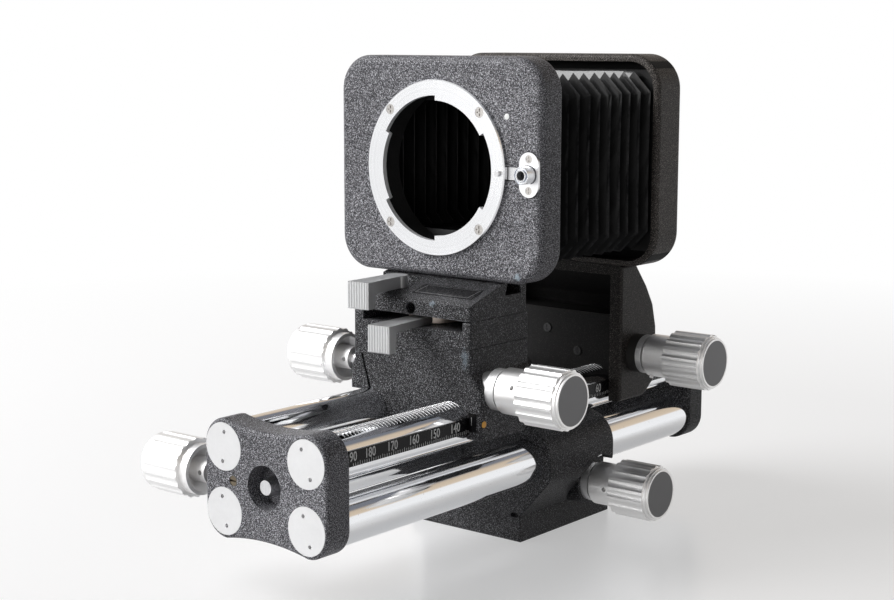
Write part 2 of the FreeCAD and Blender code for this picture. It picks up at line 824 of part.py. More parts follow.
def swing_head():
    y0 = front_face
    y1 = front_face + head_length
    outline = [
        (y0, head_floor),
        (y0, head_nose - 1.0),
        (y0 + 1.0, head_nose),
        (y0 + head_slope_run, head_top),
        (y1, head_top),
        (y1, head_floor),
    ]
    head = section_yz(outline, -front_left, front_side)
    head = head.makeFillet(casting_round, edges_along(head, 2))
    head = head.cut(dovetail(moving_gap / 2, -front_left - 1, front_side + 1))
    pocket_end = y0 + shift_pocket_depth
    pocket = box(-front_left - 1, shift_pocket_right, y0 - 1, pocket_end, shift_pocket_floor, head_top + 1)
    bearing_radius = shift_spindle_radius + running_gap
    bearing_foot = shift_pocket_floor - shift_spindle_depth
    bearing = rod_z(bearing_radius, bearing_foot, head_top, shift_lever_x, shift_lever_y)
    stud = rod_z(pivot_radius + seat_gap, head_floor - 1, head_floor + pivot_in_head, 0, swing_axis_y)
    front_hole = rod_y(head_hole_radius, y0 - 1, y0 + head_hole_depth, head_hole_x, head_hole_height)
    return head.cut([pocket, bearing, stud, front_hole, name_tile(seat_gap, 2.0)])


def name_tile(grow, rise):
    # The name field lies along the head's slope.
    slope = math.degrees(math.atan2(head_top - head_nose, head_slope_run - 1.0))
    x0 = name_left - grow
    tile = box(x0, name_left + name_width + grow, -grow, name_depth + grow, name_proud - name_thickness, rise)
    tile.rotate(point(0, 0, 0), point(1, 0, 0), slope)
    along = (name_start - 1.0) / (head_slope_run - 1.0)
    tile.translate(point(0, front_face + name_start, head_nose + along * (head_top - head_nose)))
    return tile


def nameplate():
    return name_tile(0, name_proud)


def shift_lock_lever():
    top = shift_lever_top
    low = top - shift_lever_thickness
    reach = shift_lever_reach
    thick = shift_lever_thickness
    arm = lever(shift_lever_x, shift_lever_y, reach, top, thick, lever_neck, 0, shift_lever_turn)
    hub = rod_z(shift_hub_radius, low, top, shift_lever_x, shift_lever_y)
    foot = shift_pocket_floor - shift_spindle_depth + moving_gap
    spindle = rod_z(shift_spindle_radius, foot, low + 0.5, shift_lever_x, shift_lever_y)
    return arm.fuse([hub, spindle])


def dovetail(grow, x0, x1):
    # Under the panel: narrow at the top and wide at the bottom.
    middle = panel_front + foot_middle
    top = panel_bottom + 3.0
    base = head_top - foot_height - grow
    pairs = [
        (middle - foot_narrow / 2 - grow, top),
        (middle - foot_narrow / 2 - grow, head_top - 0.5),
        (middle - foot_wide / 2 - grow, base),
        (middle + foot_wide / 2 + grow, base),
        (middle + foot_narrow / 2 + grow, head_top - 0.5),
        (middle + foot_narrow / 2 + grow, top),
    ]
    return section_yz(pairs, x0, x1)


# ---- Front panel with the lens mount ----

def front_panel():
    y0 = panel_front
    y1 = panel_front + panel_thickness
    bottom = panel_bottom
    panel = rounded_panel(panel_side, bottom, panel_top, y0, y1, panel_corner, panel_edge, panel_edge)
    panel = panel.fuse(dovetail(0, -foot_half, foot_half))
    seat = rod_y(ring_radius + seat_gap, y0 - 1, y0 + ring_sunk, 0, optical_height)
    throat = rod_y(throat_radius, y0 - 1, y1 + 1, 0, optical_height)
    screws = [rod_y(ring_screw_radius - 0.9 + seat_gap, y0, y0 + 5.2, x, z) for x, z in ring_screw_places()]
    frame_seat = bellows_box(bellows_frame_margin + seat_gap, y1 - bellows_frame_thickness, y1 + 1)
    panel = panel.cut([seat, throat, frame_seat] + screws)
    groove_half = leaf_height / 2 + moving_gap
    low = release_height - groove_half
    high = release_height + groove_half
    groove = box(ring_screw_circle - 2.2, release_x, y0 - 1, y0 + leaf_room, low, high)
    well = rod_y(button_collar_radius + moving_gap, y0 - 1, y0 + leaf_room, release_x, release_height)
    plate_seat = stadium(seat_gap + 0.3, y0 - 1, y0 + release_plate_thickness - release_plate_proud)
    taps = [rod_y(release_screw_radius - 0.5 + seat_gap, y0, y0 + 4.2, release_x, release_height + rise)
            for rise in (-release_screw_rise, release_screw_rise)]
    return panel.cut([groove, well, plate_seat] + taps)


def bellows_box(grow, y0, y1):
    side = bellows_side + grow
    rise = bellows_rise + grow
    return box(-side, side, y0, y1, optical_height - rise, optical_height + rise)


def stadium(grow, y0, y1):
    half = release_plate_width / 2 + grow
    straight = (release_plate_height - release_plate_width) / 2
    low = release_height - straight
    middle = box(release_x - half, release_x + half, y0, y1, low, low + 2 * straight)
    ends = [rod_y(half, y0, y1, release_x, release_height + rise) for rise in (-straight, straight)]
    return middle.fuse(ends)


def ring_screw_places():
    step = ring_screw_circle * math.sqrt(0.5)
    return [(x, optical_height + rise) for x in (-step, step) for rise in (-step, step)]


def lens_ring():
    y0 = panel_front - ring_proud
    y1 = panel_front + ring_sunk
    ring = rod_y(ring_radius, y0, y1, 0, optical_height)
    ring = ring.makeChamfer(0.35, edges_in_plane(ring, 1, y0))
    ring = ring.cut(rod_y(tab_bore, y0 - 1, y1 + 1, 0, optical_height))
    gap_angle = 120 - tab_angle
    gaps = [sector_y(ring_bore, y0 - 1, y1 + 1, optical_height, middle, gap_angle)
            for middle in (0, 120, 240)]
    heads = []
    for x, z in ring_screw_places():
        heads.append(rod_y(ring_screw_radius + seat_gap, y0 - 1, y0 + 0.9, x, z))
        heads.append(rod_y(ring_screw_radius - 0.9 + seat_gap, y0, y1 + 1, x, z))
    pin = rod_y(lock_pin_radius + running_gap, y0 - 1, y1 + 1, ring_screw_circle, release_height)
    return ring.cut(gaps).cut(heads + [pin])


def cross_screw(x, z, y0, head_radius, head, shank_radius, length):
    # A flush head with a cross recess, and its shank.
    screw = rod_y(head_radius, y0, y0 + head, x, z)
    screw = screw.fuse(rod_y(shank_radius, y0 + head, y0 + length, x, z))
    arm = head_radius * 0.7
    thin = head_radius * 0.13
    depth = y0 + head * 0.45
    across = box(x - arm, x + arm, y0 - 1, depth, z - thin, z + thin)
    upright = box(x - thin, x + thin, y0 - 1, depth, z - arm, z + arm)
    return screw.cut([across, upright])


def lens_ring_screws():
    y0 = panel_front - ring_proud + 0.1
    shank = ring_screw_radius - 0.9
    screws = [cross_screw(x, z, y0, ring_screw_radius, 0.8, shank, 6.4) for x, z in ring_screw_places()]
    return Part.makeCompound(screws)


def lens_ring_spring():
    # Thin spring ring behind the tabs, with three raised leaves.
    y0 = panel_front + ring_sunk
    y1 = y0 + spring_ring_thickness
    ring = rod_y(throat_radius - seat_gap, y0, y1, 0, optical_height)
    ring = ring.cut(rod_y(spring_ring_inner, y0 - 1, y1 + 1, 0, optical_height))
    leaves = []
    for middle in (60, 180, 300):
        leaf = sector_y(spring_ring_inner + 0.5, y1, y1 + 0.4, optical_height, middle, 40)
        leaves.append(leaf.cut(rod_y(tab_bore + 0.6, y0 - 1, y1 + 2, 0, optical_height)))
    bridge = []
    for middle in (60, 180, 300):
        foot = sector_y(spring_ring_inner + 0.5, y0, y1 + 0.4, optical_height, middle, 8)
        bridge.append(foot.cut(rod_y(tab_bore + 0.6, y0 - 1, y1 + 2, 0, optical_height)))
    low = release_height - leaf_height / 2 - moving_gap
    high = release_height + leaf_height / 2 + moving_gap
    notch = box(ring_bore, throat_radius + 1, y0 - 1, y1 + 1, low, high)
    return ring.fuse(leaves + bridge).cut(notch)


def release_plate():
    y0 = panel_front - release_plate_proud
    plate = stadium(0, y0, y0 + release_plate_thickness)
    hole = rod_y(button_radius + moving_gap, y0 - 1, y0 + 3, release_x, release_height)
    heads = [rod_y(release_screw_radius + seat_gap, y0 - 1, y0 + 0.6, release_x, release_height + rise)
             for rise in (-release_screw_rise, release_screw_rise)]
    taps = [rod_y(release_screw_radius - 0.5 + seat_gap, y0, y0 + 3, release_x, release_height + rise)
            for rise in (-release_screw_rise, release_screw_rise)]
    low = release_height - leaf_height / 2 - moving_gap
    high = release_height + leaf_height / 2 + moving_gap
    passage = box(release_x - 6, release_x, panel_front, y0 + 3, low, high)
    return plate.cut([hole, passage] + heads + taps)


def release_plate_screws():
    y0 = panel_front - release_plate_proud
    places = (-release_screw_rise, release_screw_rise)
    screws = [cross_screw(release_x, release_height + rise, y0 + 0.1, release_screw_radius, 0.5,
                          release_screw_radius - 0.5, 4.4) for rise in places]
    return Part.makeCompound(screws)


def release_button():
    y0 = panel_front - button_proud
    leaf_front = panel_front + leaf_sink
    head = rod_y(button_radius, y0 + 1.0, leaf_front, release_x, release_height)
    neck = rod_y(button_radius - 0.7, y0, y0 + 1.0, release_x, release_height)
    return head.fuse(neck).cut(rod_y(1.4, y0 - 1, y0 + 2.4, release_x, release_height))


def lock_pin_leaf():
    y0 = panel_front + leaf_sink
    y1 = y0 + leaf_thickness
    half = leaf_height / 2
    leaf = box(ring_screw_circle - 1.6, release_x, y0, y1, release_height - half, release_height + half)
    leaf = leaf.fuse(rod_y(button_collar_radius, y0, y1, release_x, release_height))
    pin_front = panel_front - ring_proud - lock_pin_proud
    return leaf.fuse(rod_y(lock_pin_radius, pin_front, y0 + 0.2, ring_screw_circle, release_height))


def release_spring():
    # Coil spring behind the leaf, as the closed sleeve that it fills.
    y0 = panel_front + leaf_sink + leaf_thickness
    y1 = panel_front + leaf_room
    sleeve = rod_y(spring_outer, y0, y1, release_x, release_height)
    return sleeve.cut(rod_y(spring_inner, y0 - 1, y1 + 1, release_x, release_height))


# ---- Bellows ----

def fold_outline(y, side, rise, corner):
    pairs = [
        (side, rise - corner), (side - corner, rise), (corner - side, rise), (-side, rise - corner),
        (-side, corner - rise), (corner - side, -rise), (side - corner, -rise), (side, corner - rise),
    ]
    points = [point(x, y, optical_height + z) for x, z in pairs]
    return Part.makePolygon(points + points[:1])


def pleated(shrink):
    y0 = panel_front + panel_thickness
    pitch = (bellows_rear_y - y0) / fold_count
    outlines = []
    for k in range(2 * fold_count + 1):
        inset = shrink + fold_depth * ((k + 1) % 2)
        corner = bellows_corner - fold_corner_share * inset
        y = y0 + pitch * k / 2
        outlines.append(fold_outline(y, bellows_side - inset, bellows_rise - inset, corner))
    return Part.makeLoft(outlines, True, True)


def bellows():
    return pleated(0).cut(pleated(skin))


def bellows_frame(y0):
    frame = bellows_box(bellows_frame_margin, y0, y0 + bellows_frame_thickness)
    side = bellows_side - fold_depth - skin
    rise = bellows_rise - fold_depth - skin
    return frame.cut(box(-side, side, y0 - 1, y0 + 3, optical_height - rise, optical_height + rise))


def bellows_front_frame():
    return bellows_frame(panel_front + panel_thickness - bellows_frame_thickness)


def bellows_rear_frame():
    return bellows_frame(bellows_rear_y)


# ---- Rear carriage and camera mount ----

def rear_carriage():
    y0 = rear_face
    outline = [
        (y0, cheek_bottom - 0.3),
        (rear_back - 7.5, cheek_bottom - 0.3),
        (rear_back - 1.0, cheek_bottom + 4.5),
        (rear_back, 60.0),
        (rear_back - 0.3, 69.0),
        (rear_back - 2.6, 77.5),
        (rear_back - 7.0, 84.5),
        (rear_neck_back, rear_top),
        (y0, rear_top),
    ]
    body = section_yz(outline, -rear_side, rear_side)
    back = [edge for edge in edges_along(body, 0) if edge.BoundBox.YMin > rear_neck_back + 1]
    body = body.makeFillet(3.0, back)
    sides = edges_in_plane(body, 0, rear_side) + edges_in_plane(body, 0, -rear_side)
    body = body.makeFillet(casting_round, sides)
    hollow_pairs = [
        (y0 - 1, rear_hollow_bottom),
        (rear_back - rear_wall - 4.0, rear_hollow_bottom),
        (rear_back - rear_wall - 6.0, rear_hollow_bottom + 5.0),
        (rear_neck_back - rear_wall + 1.0, rear_hollow_top),
        (y0 - 1, rear_hollow_top),
    ]
    hollow = section_yz(hollow_pairs, -rear_hollow_side, rear_hollow_side)
    low = cheek_bottom - 1
    chest = box(-rear_hollow_side, rear_hollow_side, y0 - 1, rear_foot_front, low, rear_hollow_bottom + 1)
    left_tube_side = box(-rear_side - 1, -tube_side, y0 - 1, rear_back + 1, low, ear_bottom)
    body = body.cut([hollow, chest, left_tube_side])
    body = body.cut(tube_rooms(y0, rear_back, [upper_axis]))
    body = body.cut([strip_room(y0, rear_back), clamp_slit(y0, rear_back)])
    body = body.cut(pinion_room(rear_drive_y, upper_drive_height, rear_side))
    body = body.cut(lock_hole(-rear_side, rear_drive_y, lock_height))
    tap_end = rear_foot_front + web_screw_length
    return body.cut([rod_y(web_screw_radius / 2 + seat_gap, y0, tap_end, x, z) for x, z in web_screw_places])


def rear_web_screws():
    # Two screws in the crossbar between the cheeks, their heads in front of its face.
    head = 0.4
    start = rear_foot_front - head
    shank = web_screw_radius / 2
    screws = [cross_screw(x, z, start, web_screw_radius, head, shank, web_screw_length)
              for x, z in web_screw_places]
    return Part.makeCompound(screws)


def rear_frame():
    y0 = rear_frame_front
    y1 = rear_frame_front + rear_frame_depth
    corner = rear_frame_corner
    bottom = rear_frame_bottom
    top = rear_frame_top
    frame = rounded_panel(rear_frame_side, bottom, top, y0, y1, corner, rear_frame_lip, panel_edge)
    side = rear_recess_side
    rise = rear_recess_rise
    recess = box(-side, side, y0 - 1, y0 + rear_recess_depth, optical_height - rise, optical_height + rise)
    recess = recess.makeFillet(rear_recess_corner, edges_along(recess, 1))
    frame_seat = bellows_box(bellows_frame_margin + seat_gap, bellows_rear_y, y0 + rear_recess_depth)
    throat = rod_y(camera_throat, y0 - 1, y1 + 1, 0, optical_height)
    mount_seat = rod_y(mount_boss_radius + running_gap, y1 - mount_boss, y1 + 1, 0, optical_height)
    well_floor = y1 - camera_button_depth
    button_radius = camera_button_radius + running_gap
    button_well = rod_y(button_radius, well_floor, y1 + 1, camera_button_x, camera_button_z)
    return frame.cut([recess, frame_seat, throat, mount_seat, button_well])


def camera_release_button():
    y1 = rear_frame_front + rear_frame_depth
    y0 = y1 - camera_button_depth + camera_button_travel + moving_gap
    end = y1 + camera_button_proud
    button = rod_y(camera_button_radius, y0, end, camera_button_x, camera_button_z)
    return button.makeFillet(0.5, edges_in_plane(button, 1, end))


def camera_mount_ring():
    # Turning ring with three outward tabs; its boss turns in the frame's seat.
    y1 = rear_frame_front + rear_frame_depth
    start = y1 + moving_gap / 2
    end = start + mount_flange
    ring = rod_y(mount_flange_radius, start, end, 0, optical_height)
    ring = ring.makeChamfer(0.4, edges_in_plane(ring, 1, end))
    ring = ring.fuse(rod_y(mount_boss_radius, y1 - mount_boss + moving_gap / 2, start, 0, optical_height))
    ring = ring.fuse(rod_y(mount_tube_radius, end, end + mount_tube_length, 0, optical_height))
    tab_end = end + mount_tube_length
    tab_start = tab_end - mount_tab_thickness
    tabs = [sector_y(mount_tab_radius, tab_start, tab_end, optical_height, middle, tab_angle)
            for middle in (90, 210, 330)]
    ring = ring.fuse(tabs)
    ring = ring.cut(rod_y(mount_bore, y1 - mount_boss - 1, tab_end + 1, 0, optical_height))
    heads = []
    for x, z in mount_screw_places():
        heads.append(rod_y(ring_screw_radius + seat_gap, end - 0.9, end + 1, x, z))
        heads.append(rod_y(ring_screw_radius - 0.9 + seat_gap, end - 2.6, end, x, z))
    return ring.cut(heads)


def mount_screw_places():
    places = []
    for k in range(4):
        turn = math.radians(30 + 90 * k)
        across = mount_screw_circle * math.cos(turn)
        up = mount_screw_circle * math.sin(turn)
        places.append((across, optical_height + up))
    return places


def camera_mount_screws():
    end = rear_frame_front + rear_frame_depth + moving_gap / 2 + mount_flange
    screws = []
    for x, z in mount_screw_places():
        screw = cross_screw(x, z, 0, ring_screw_radius, 0.8, ring_screw_radius - 0.9, 2.4)
        screw.rotate(point(x, 0, z), point(0, 0, 1), 180)
        screw.translate(point(0, end - 0.1, 0))
        screws.append(screw)
    return Part.makeCompound(screws)


# ---- Tripod block ----

def block_hollow(y0):
    # Hollow in the front of the casting; its floor slopes up and its right wall leans out.
    y1 = y0 + core_depth
    wide = core_right + core_lean
    side = section_yz([(y0 - 1, core_bottom), (y0, core_bottom), (y1, core_bottom + core_rise),
                       (y1, core_top), (y0 - 1, core_top)], core_left, wide + 1)
    front = section_xz([(core_left, core_bottom - 1), (core_right, core_bottom - 1), (core_right, core_slant),
                        (wide, core_top), (core_left, core_top)], y0 - 2, y1)
    hollow = side.common(front)
    return hollow.makeFillet(core_round, edges_in_plane(hollow, 1, y1))


def tripod_block():
    y0 = block_front
    y1 = block_front + block_length
    outline = [
        (-block_side, block_top),
        (block_side, block_top),
        (block_side, block_slant_top),
        (foot_right, block_slant_bottom),
        (foot_right, 0),
        (foot_left, 0),
        (foot_left, foot_lip),
        (-block_side, foot_lip + 2.0),
    ]
    body = section_xz(outline, y0, foot_rear)
    top = [edge for edge in edges_along(body, 1) if edge.BoundBox.ZMin > block_top - 0.1]
    body = body.makeFillet(block_round, top)
    lean = [edge for edge in edges_along(body, 1)
            if edge.BoundBox.XMin > block_side - 0.1 and edge.BoundBox.ZMax < block_slant_top + 0.1]
    body = body.makeFillet(block_slant_round, lean)
    side_pairs = [
        (y1, block_top + 1),
        (y1, block_rear_foot),
        (foot_rear, foot_lip + 1.5),
        (foot_rear + 1, foot_lip + 1.5),
        (foot_rear + 1, block_top + 1),
    ]
    body = body.cut(section_yz(side_pairs, foot_left - 1, block_side + 1))
    body = body.makeFillet(block_rear_round, edges_in_plane(body, 1, y1))
    body = body.makeFillet(block_front_round, edges_in_plane(body, 1, y0))
    boss = rod_x(block_boss_radius, tube_side - 6.0, block_boss_side, focus_drive_y, focus_height)
    spot_face = rod_x(spot_radius, block_boss_side, block_side + 1, focus_drive_y, focus_height)
    body = body.fuse(boss).cut(spot_face)
    body = body.cut(tube_rooms(y0, foot_rear, [lower_axis]))
    body = body.cut(pinion_room(focus_drive_y, focus_height, block_boss_side))
    bush = rod_z(tripod_bush_radius + seat_gap, -1, tripod_thread_length + 1.5, 0, 0)
    lock = rod_x(lock_screw_radius + running_gap, -block_side - 1, -tube_side, focus_drive_y, lower_axis)
    dimple = [rod_y(0.8, y0 - 1, y0 + 2.0, x, block_slant_bottom) for x in (12.2, 13.8)]
    dimple.append(box(12.2, 13.8, y0 - 1, y0 + 2.0, block_slant_bottom - 0.8, block_slant_bottom + 0.8))
    return body.cut([block_hollow(y0), bush, lock] + dimple)


def tripod_bush():
    bush = rod_z(tripod_bush_radius, 0, tripod_thread_length + 1.5, 0, 0)
    return bush.cut(rod_z(tripod_thread_radius, -1, tripod_thread_length, 0, 0))


def focus_clamp_pad():
    # Brass pad between the lock screw and the lower left tube.
    pad = rod_x(lock_screw_radius, -block_side + 0.6, -tube_side, focus_drive_y, lower_axis)
    y0 = focus_drive_y - 2 * lock_screw_radius
    y1 = focus_drive_y + 2 * lock_screw_radius
    return pad.cut(rod_y(tube_radius + running_gap, y0, y1, -tube_side, lower_axis))


# ---- The pieces by name ----

accessory_lock = (-plate_side, accessory_y, accessory_height, accessory_screw_radius)
focus_lock = (-block_side, focus_drive_y, lower_axis, lock_screw_radius)
front_lock = (-ear_side, front_lock_y, lock_height, lock_screw_radius)
rear_lock = (-rear_side, rear_drive_y, lock_height, lock_screw_radius)
block_bush_end = block_boss_side + focus_bush_flange
cheek_bush_end = cheek_side + front_bush_flange
rear_bush_end = rear_side + rear_bush_flange

pieces = {
    "front_end_plate": front_end_plate(),
    "rear_end_plate": rear_end_plate(),
    "upper_left_tube": upper_left_tube(),
    "upper_right_tube": upper_right_tube(),
    "lower_left_tube": lower_left_tube(),
    "lower_right_tube": lower_right_tube(),
    "scale_strip": scale_strip(),
    "tube_end_caps": tube_end_caps(),
    "centre_pin": centre_pin(),
    "end_plate_set_screw": end_plate_set_screw(),
    "accessory_lock_knob": bored_lock_knob(*accessory_lock),
    "accessory_lock_screw": lock_screw(*accessory_lock, accessory_depth),
    "tripod_block": tripod_block(),
    "tripod_bush": tripod_bush(),
    "focus_bearing_bush": bearing_bush(focus_drive_y, focus_height, block_boss_side, block_bush_end),
    "focus_pinion_shaft": pinion_shaft(focus_drive_y, lower_axis, -1, focus_knob_start),
    "focus_drive_knob": drive_knob(focus_knob_start, focus_drive_y, focus_height),
    "focus_knob_cap": knob_cap(focus_knob_start, focus_drive_y, focus_height),
    "focus_lock_knob": bored_lock_knob(*focus_lock),
    "focus_lock_screw": lock_screw(*focus_lock, 0.3),
    "focus_clamp_pad": focus_clamp_pad(),
    "front_carriage": front_carriage(),
    "index_pointer": index_pointer(),
    "front_bearing_bush": bearing_bush(front_drive_y, upper_drive_height, cheek_side, cheek_bush_end),
    "front_pinion_shaft": pinion_shaft(front_drive_y, upper_axis, 1, front_knob_start),
    "front_drive_knob": drive_knob(front_knob_start, front_drive_y, upper_drive_height, front_grub_turn),
    "front_knob_cap": knob_cap(front_knob_start, front_drive_y, upper_drive_height),
    "front_lock_knob": bored_lock_knob(*front_lock),
    "front_lock_screw": lock_screw(*front_lock, lock_screw_depth),
    "swing_lock_hub": swing_lock_hub(),
    "swing_lock_lever": swing_lock_lever(),
    "swing_pivot": swing_pivot(),
    "swing_head": swing_head(),
    "nameplate": nameplate(),
    "shift_lock_lever": shift_lock_lever(),
    "front_panel": front_panel(),
    "lens_ring": lens_ring(),
    "lens_ring_screws": lens_ring_screws(),
    "lens_ring_spring": lens_ring_spring(),
    "release_plate": release_plate(),
    "release_plate_screws": release_plate_screws(),
    "release_button": release_button(),
    "lock_pin_leaf": lock_pin_leaf(),
    "release_spring": release_spring(),
    "bellows": bellows(),
    "bellows_front_frame": bellows_front_frame(),
    "bellows_rear_frame": bellows_rear_frame(),
    "rear_carriage": rear_carriage(),
    "rear_web_screws": rear_web_screws(),
    "rear_frame": rear_frame(),
    "rear_bearing_bush": bearing_bush(rear_drive_y, upper_drive_height, rear_side, rear_bush_end),
    "rear_pinion_shaft": pinion_shaft(rear_drive_y, upper_axis, 1, rear_knob_start),
    "rear_drive_knob": drive_knob(rear_knob_start, rear_drive_y, upper_drive_height, rear_grub_turn,
                                  rear_grub_from_flutes),
    "rear_knob_cap": knob_cap(rear_knob_start, rear_drive_y, upper_drive_height),
    "rear_lock_knob": bored_lock_knob(*rear_lock),
    "rear_lock_screw": lock_screw(*rear_lock, lock_screw_depth),
    "camera_mount_ring": camera_mount_ring(),
    "camera_mount_screws": camera_mount_screws(),
    "camera_release_button": camera_release_button(),
}

for name, shape in pieces.items():
    shape = shape.removeSplitter() if shape.ShapeType == "Solid" else shape
    print(name, len(shape.Solids), shape.isValid(), round(shape.Volume, 2))
    shape.exportStep("parts/" + name + ".step")
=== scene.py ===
import json
import math
import random

import bmesh
import bpy
from mathutils import Matrix, Vector


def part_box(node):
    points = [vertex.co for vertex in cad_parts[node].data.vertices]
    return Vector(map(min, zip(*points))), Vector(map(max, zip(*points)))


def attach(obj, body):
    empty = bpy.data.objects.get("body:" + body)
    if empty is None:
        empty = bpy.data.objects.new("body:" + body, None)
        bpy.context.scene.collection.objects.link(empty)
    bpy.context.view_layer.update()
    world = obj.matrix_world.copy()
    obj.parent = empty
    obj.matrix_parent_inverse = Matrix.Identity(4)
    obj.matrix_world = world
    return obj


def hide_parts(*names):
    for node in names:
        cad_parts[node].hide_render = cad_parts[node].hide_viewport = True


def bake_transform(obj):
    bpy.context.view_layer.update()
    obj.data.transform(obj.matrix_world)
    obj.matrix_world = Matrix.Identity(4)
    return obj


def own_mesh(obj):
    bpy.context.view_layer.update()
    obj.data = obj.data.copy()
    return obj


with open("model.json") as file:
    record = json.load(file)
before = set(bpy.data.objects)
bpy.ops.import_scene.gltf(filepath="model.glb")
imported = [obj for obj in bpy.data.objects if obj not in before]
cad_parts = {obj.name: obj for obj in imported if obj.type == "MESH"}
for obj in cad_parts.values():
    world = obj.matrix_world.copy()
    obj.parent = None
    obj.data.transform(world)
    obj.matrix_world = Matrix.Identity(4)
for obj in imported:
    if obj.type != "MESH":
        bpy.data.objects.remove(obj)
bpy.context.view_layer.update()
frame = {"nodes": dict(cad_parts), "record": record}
nodes = frame["nodes"]
scene = bpy.context.scene
mm = 0.001
random.seed(11)
print("frame loaded,", len(nodes), "nodes")


class Wire:
    # One node output. Sums written with it add the Math nodes.
    def __init__(self, finish, socket):
        self.finish = finish
        self.socket = socket

    def maths(self, operation, *values):
        return self.finish.node("Math", {"operation": operation}, dict(enumerate(values)))

    def __add__(self, other):
        return self.maths("ADD", self, other)

    def __radd__(self, other):
        return self.maths("ADD", other, self)

    def __sub__(self, other):
        return self.maths("SUBTRACT", self, other)

    def __rsub__(self, other):
        return self.maths("SUBTRACT", other, self)

    def __mul__(self, other):
        return self.maths("MULTIPLY", self, other)

    def __rmul__(self, other):
        return self.maths("MULTIPLY", other, self)

    def __truediv__(self, other):
        return self.maths("DIVIDE", self, other)

    def __rtruediv__(self, other):
        return self.maths("DIVIDE", other, self)

    def __pow__(self, other):
        return self.maths("POWER", self, other)

    def __rpow__(self, other):
        return self.maths("POWER", other, self)


class Finish:
    # A material and the ways to add to it.
    def __init__(self, name, **fixed):
        self.material = bpy.data.materials.new(name)
        self.material.use_nodes = True
        self.tree = self.material.node_tree
        self.shader = self.tree.nodes["Principled BSDF"]
        self.feed(**fixed)

    def plug(self, socket, value):
        if isinstance(value, Wire):
            self.tree.links.new(value.socket, socket)
        elif isinstance(value, tuple) and len(value) == 3 and socket.type == "RGBA":
            socket.default_value = (*value, 1.0)
        else:
            socket.default_value = value

    def feed(self, **values):
        # baseColor goes to Base Color, and so on
        for name, value in values.items():
            words = "".join(" " + letter if letter.isupper() else letter for letter in name).title()
            self.plug(self.shader.inputs[words.replace("Ior", "IOR")], value)

    def node(self, kind, settings=None, values=None, output=0):
        made = self.tree.nodes.new("ShaderNode" + kind)
        for name, value in (settings or {}).items():
            if name == "stops":
                self.setStops(made.color_ramp, value)
            else:
                setattr(made, name, value)
        for name, value in (values or {}).items():
            self.plug(made.inputs[name], value)
        return Wire(self, made.outputs[output])

    def setStops(self, ramp, stops):
        while len(ramp.elements) < len(stops):
            ramp.elements.new(0.5)
        for element, (position, colour) in zip(ramp.elements, stops):
            element.position = position
            element.color = (*colour, 1.0) if isinstance(colour, tuple) else (colour, colour, colour, 1.0)

    def place(self):
        return self.node("TexCoord", output="Object")

    def axes(self, place=None):
        split = self.node("SeparateXYZ", values={"Vector": place or self.place()})
        return [Wire(self, socket) for socket in split.socket.node.outputs]

    def ray(self, kind):
        return self.node("LightPath", output=kind)

    def noise(self, scale, detail=2.0, roughness=0.5):
        values = {"Vector": self.place(), "Scale": scale, "Detail": detail, "Roughness": roughness}
        return self.node("TexNoise", values=values)

    def lines(self, along, scale, detail=3.0):
        # fine lines at right angles to one coordinate
        values = {"W": along, "Scale": scale, "Detail": detail}
        return self.node("TexNoise", {"noise_dimensions": "1D"}, values)

    def ramp(self, value, stops):
        return self.node("ValToRGB", {"stops": stops}, {"Fac": value})

    def blend(self, share, first, second):
        values = {"Factor": share, 6: first, 7: second}
        return self.node("Mix", {"data_type": "RGBA"}, values, output=2)

    def held(self, operation, first, second):
        # a sum kept between 0 and 1
        return self.node("Math", {"operation": operation, "use_clamp": True}, {0: first, 1: second})

    def below(self, value, edge, soft=0.05 * mm):
        # 1 where a value is under an edge, 0 where it is over
        return self.held("DIVIDE", edge - value, soft)

    def size(self, value):
        return value.maths("ABSOLUTE", value)

    def bump(self, height, distance, strength=1.0):
        normal = self.node("Bump", values={"Height": height, "Distance": distance, "Strength": strength})
        self.feed(normal=normal)


def fromAxis(across, up):
    # how far a place lies from an axis
    return (across * across + up * up) ** 0.5


opticalHeight = (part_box("lens_ring")[0].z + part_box("lens_ring")[1].z) / 2
crinkle = {
    # Tones of the black crinkle paint, by lump height. The pale top of each ramp is painted glints on the
    # lumps. "pale" is a lit copy, painted light for faces that catch the key light. "shaded" is a
    # painted-shade copy for the carriage under the bellows. "brown" is a lighter, warmer copy for the rear
    # frame.
    "dark": [(0.42, (0.005, 0.005, 0.0055)), (0.56, (0.030, 0.030, 0.033)), (0.70, (0.42, 0.42, 0.44))],
    "pale": [(0.38, (0.020, 0.020, 0.022)), (0.53, (0.112, 0.111, 0.122)), (0.70, (0.66, 0.66, 0.70))],
    "brown": [(0.42, (0.014, 0.012, 0.011)), (0.56, (0.064, 0.057, 0.052)), (0.70, (0.46, 0.42, 0.39))],
    "shaded": [(0.42, (0.008, 0.007, 0.0065)), (0.57, (0.030, 0.027, 0.025)), (0.71, (0.24, 0.22, 0.205))],
    "inside": (0.007, 0.007, 0.0075),   # painted shade: near black, in the hollows
    "grain": 3200,                      # lumps per metre
    "drift": 22,                        # slow changes of tone, per metre
    "driftShare": 0.08,
    "height": 0.12 * mm,
    "roughness": 0.45,
    "gloss": 0.16,
    "chipped": (0.42, 0.52, 0.60),
    "flakes": 1100,                     # broken edges of the rubbed places, per metre
    "ragged": 4 * mm,                   # how far the flakes move such an edge
    "chipSoft": 0.6 * mm,
    # where the paint is rubbed: the place, its radius, how far it is drawn out upward, and how bare it is
    "chips": [((33.1, -53.0, 96.4), 1.4, 1.0, 0.60), ((9.6, -66.8, 87.7), 1.5, 0.8, 0.30),
              ((23.2, -66.8, 71.0), 1.5, 2.4, 0.20)],
}


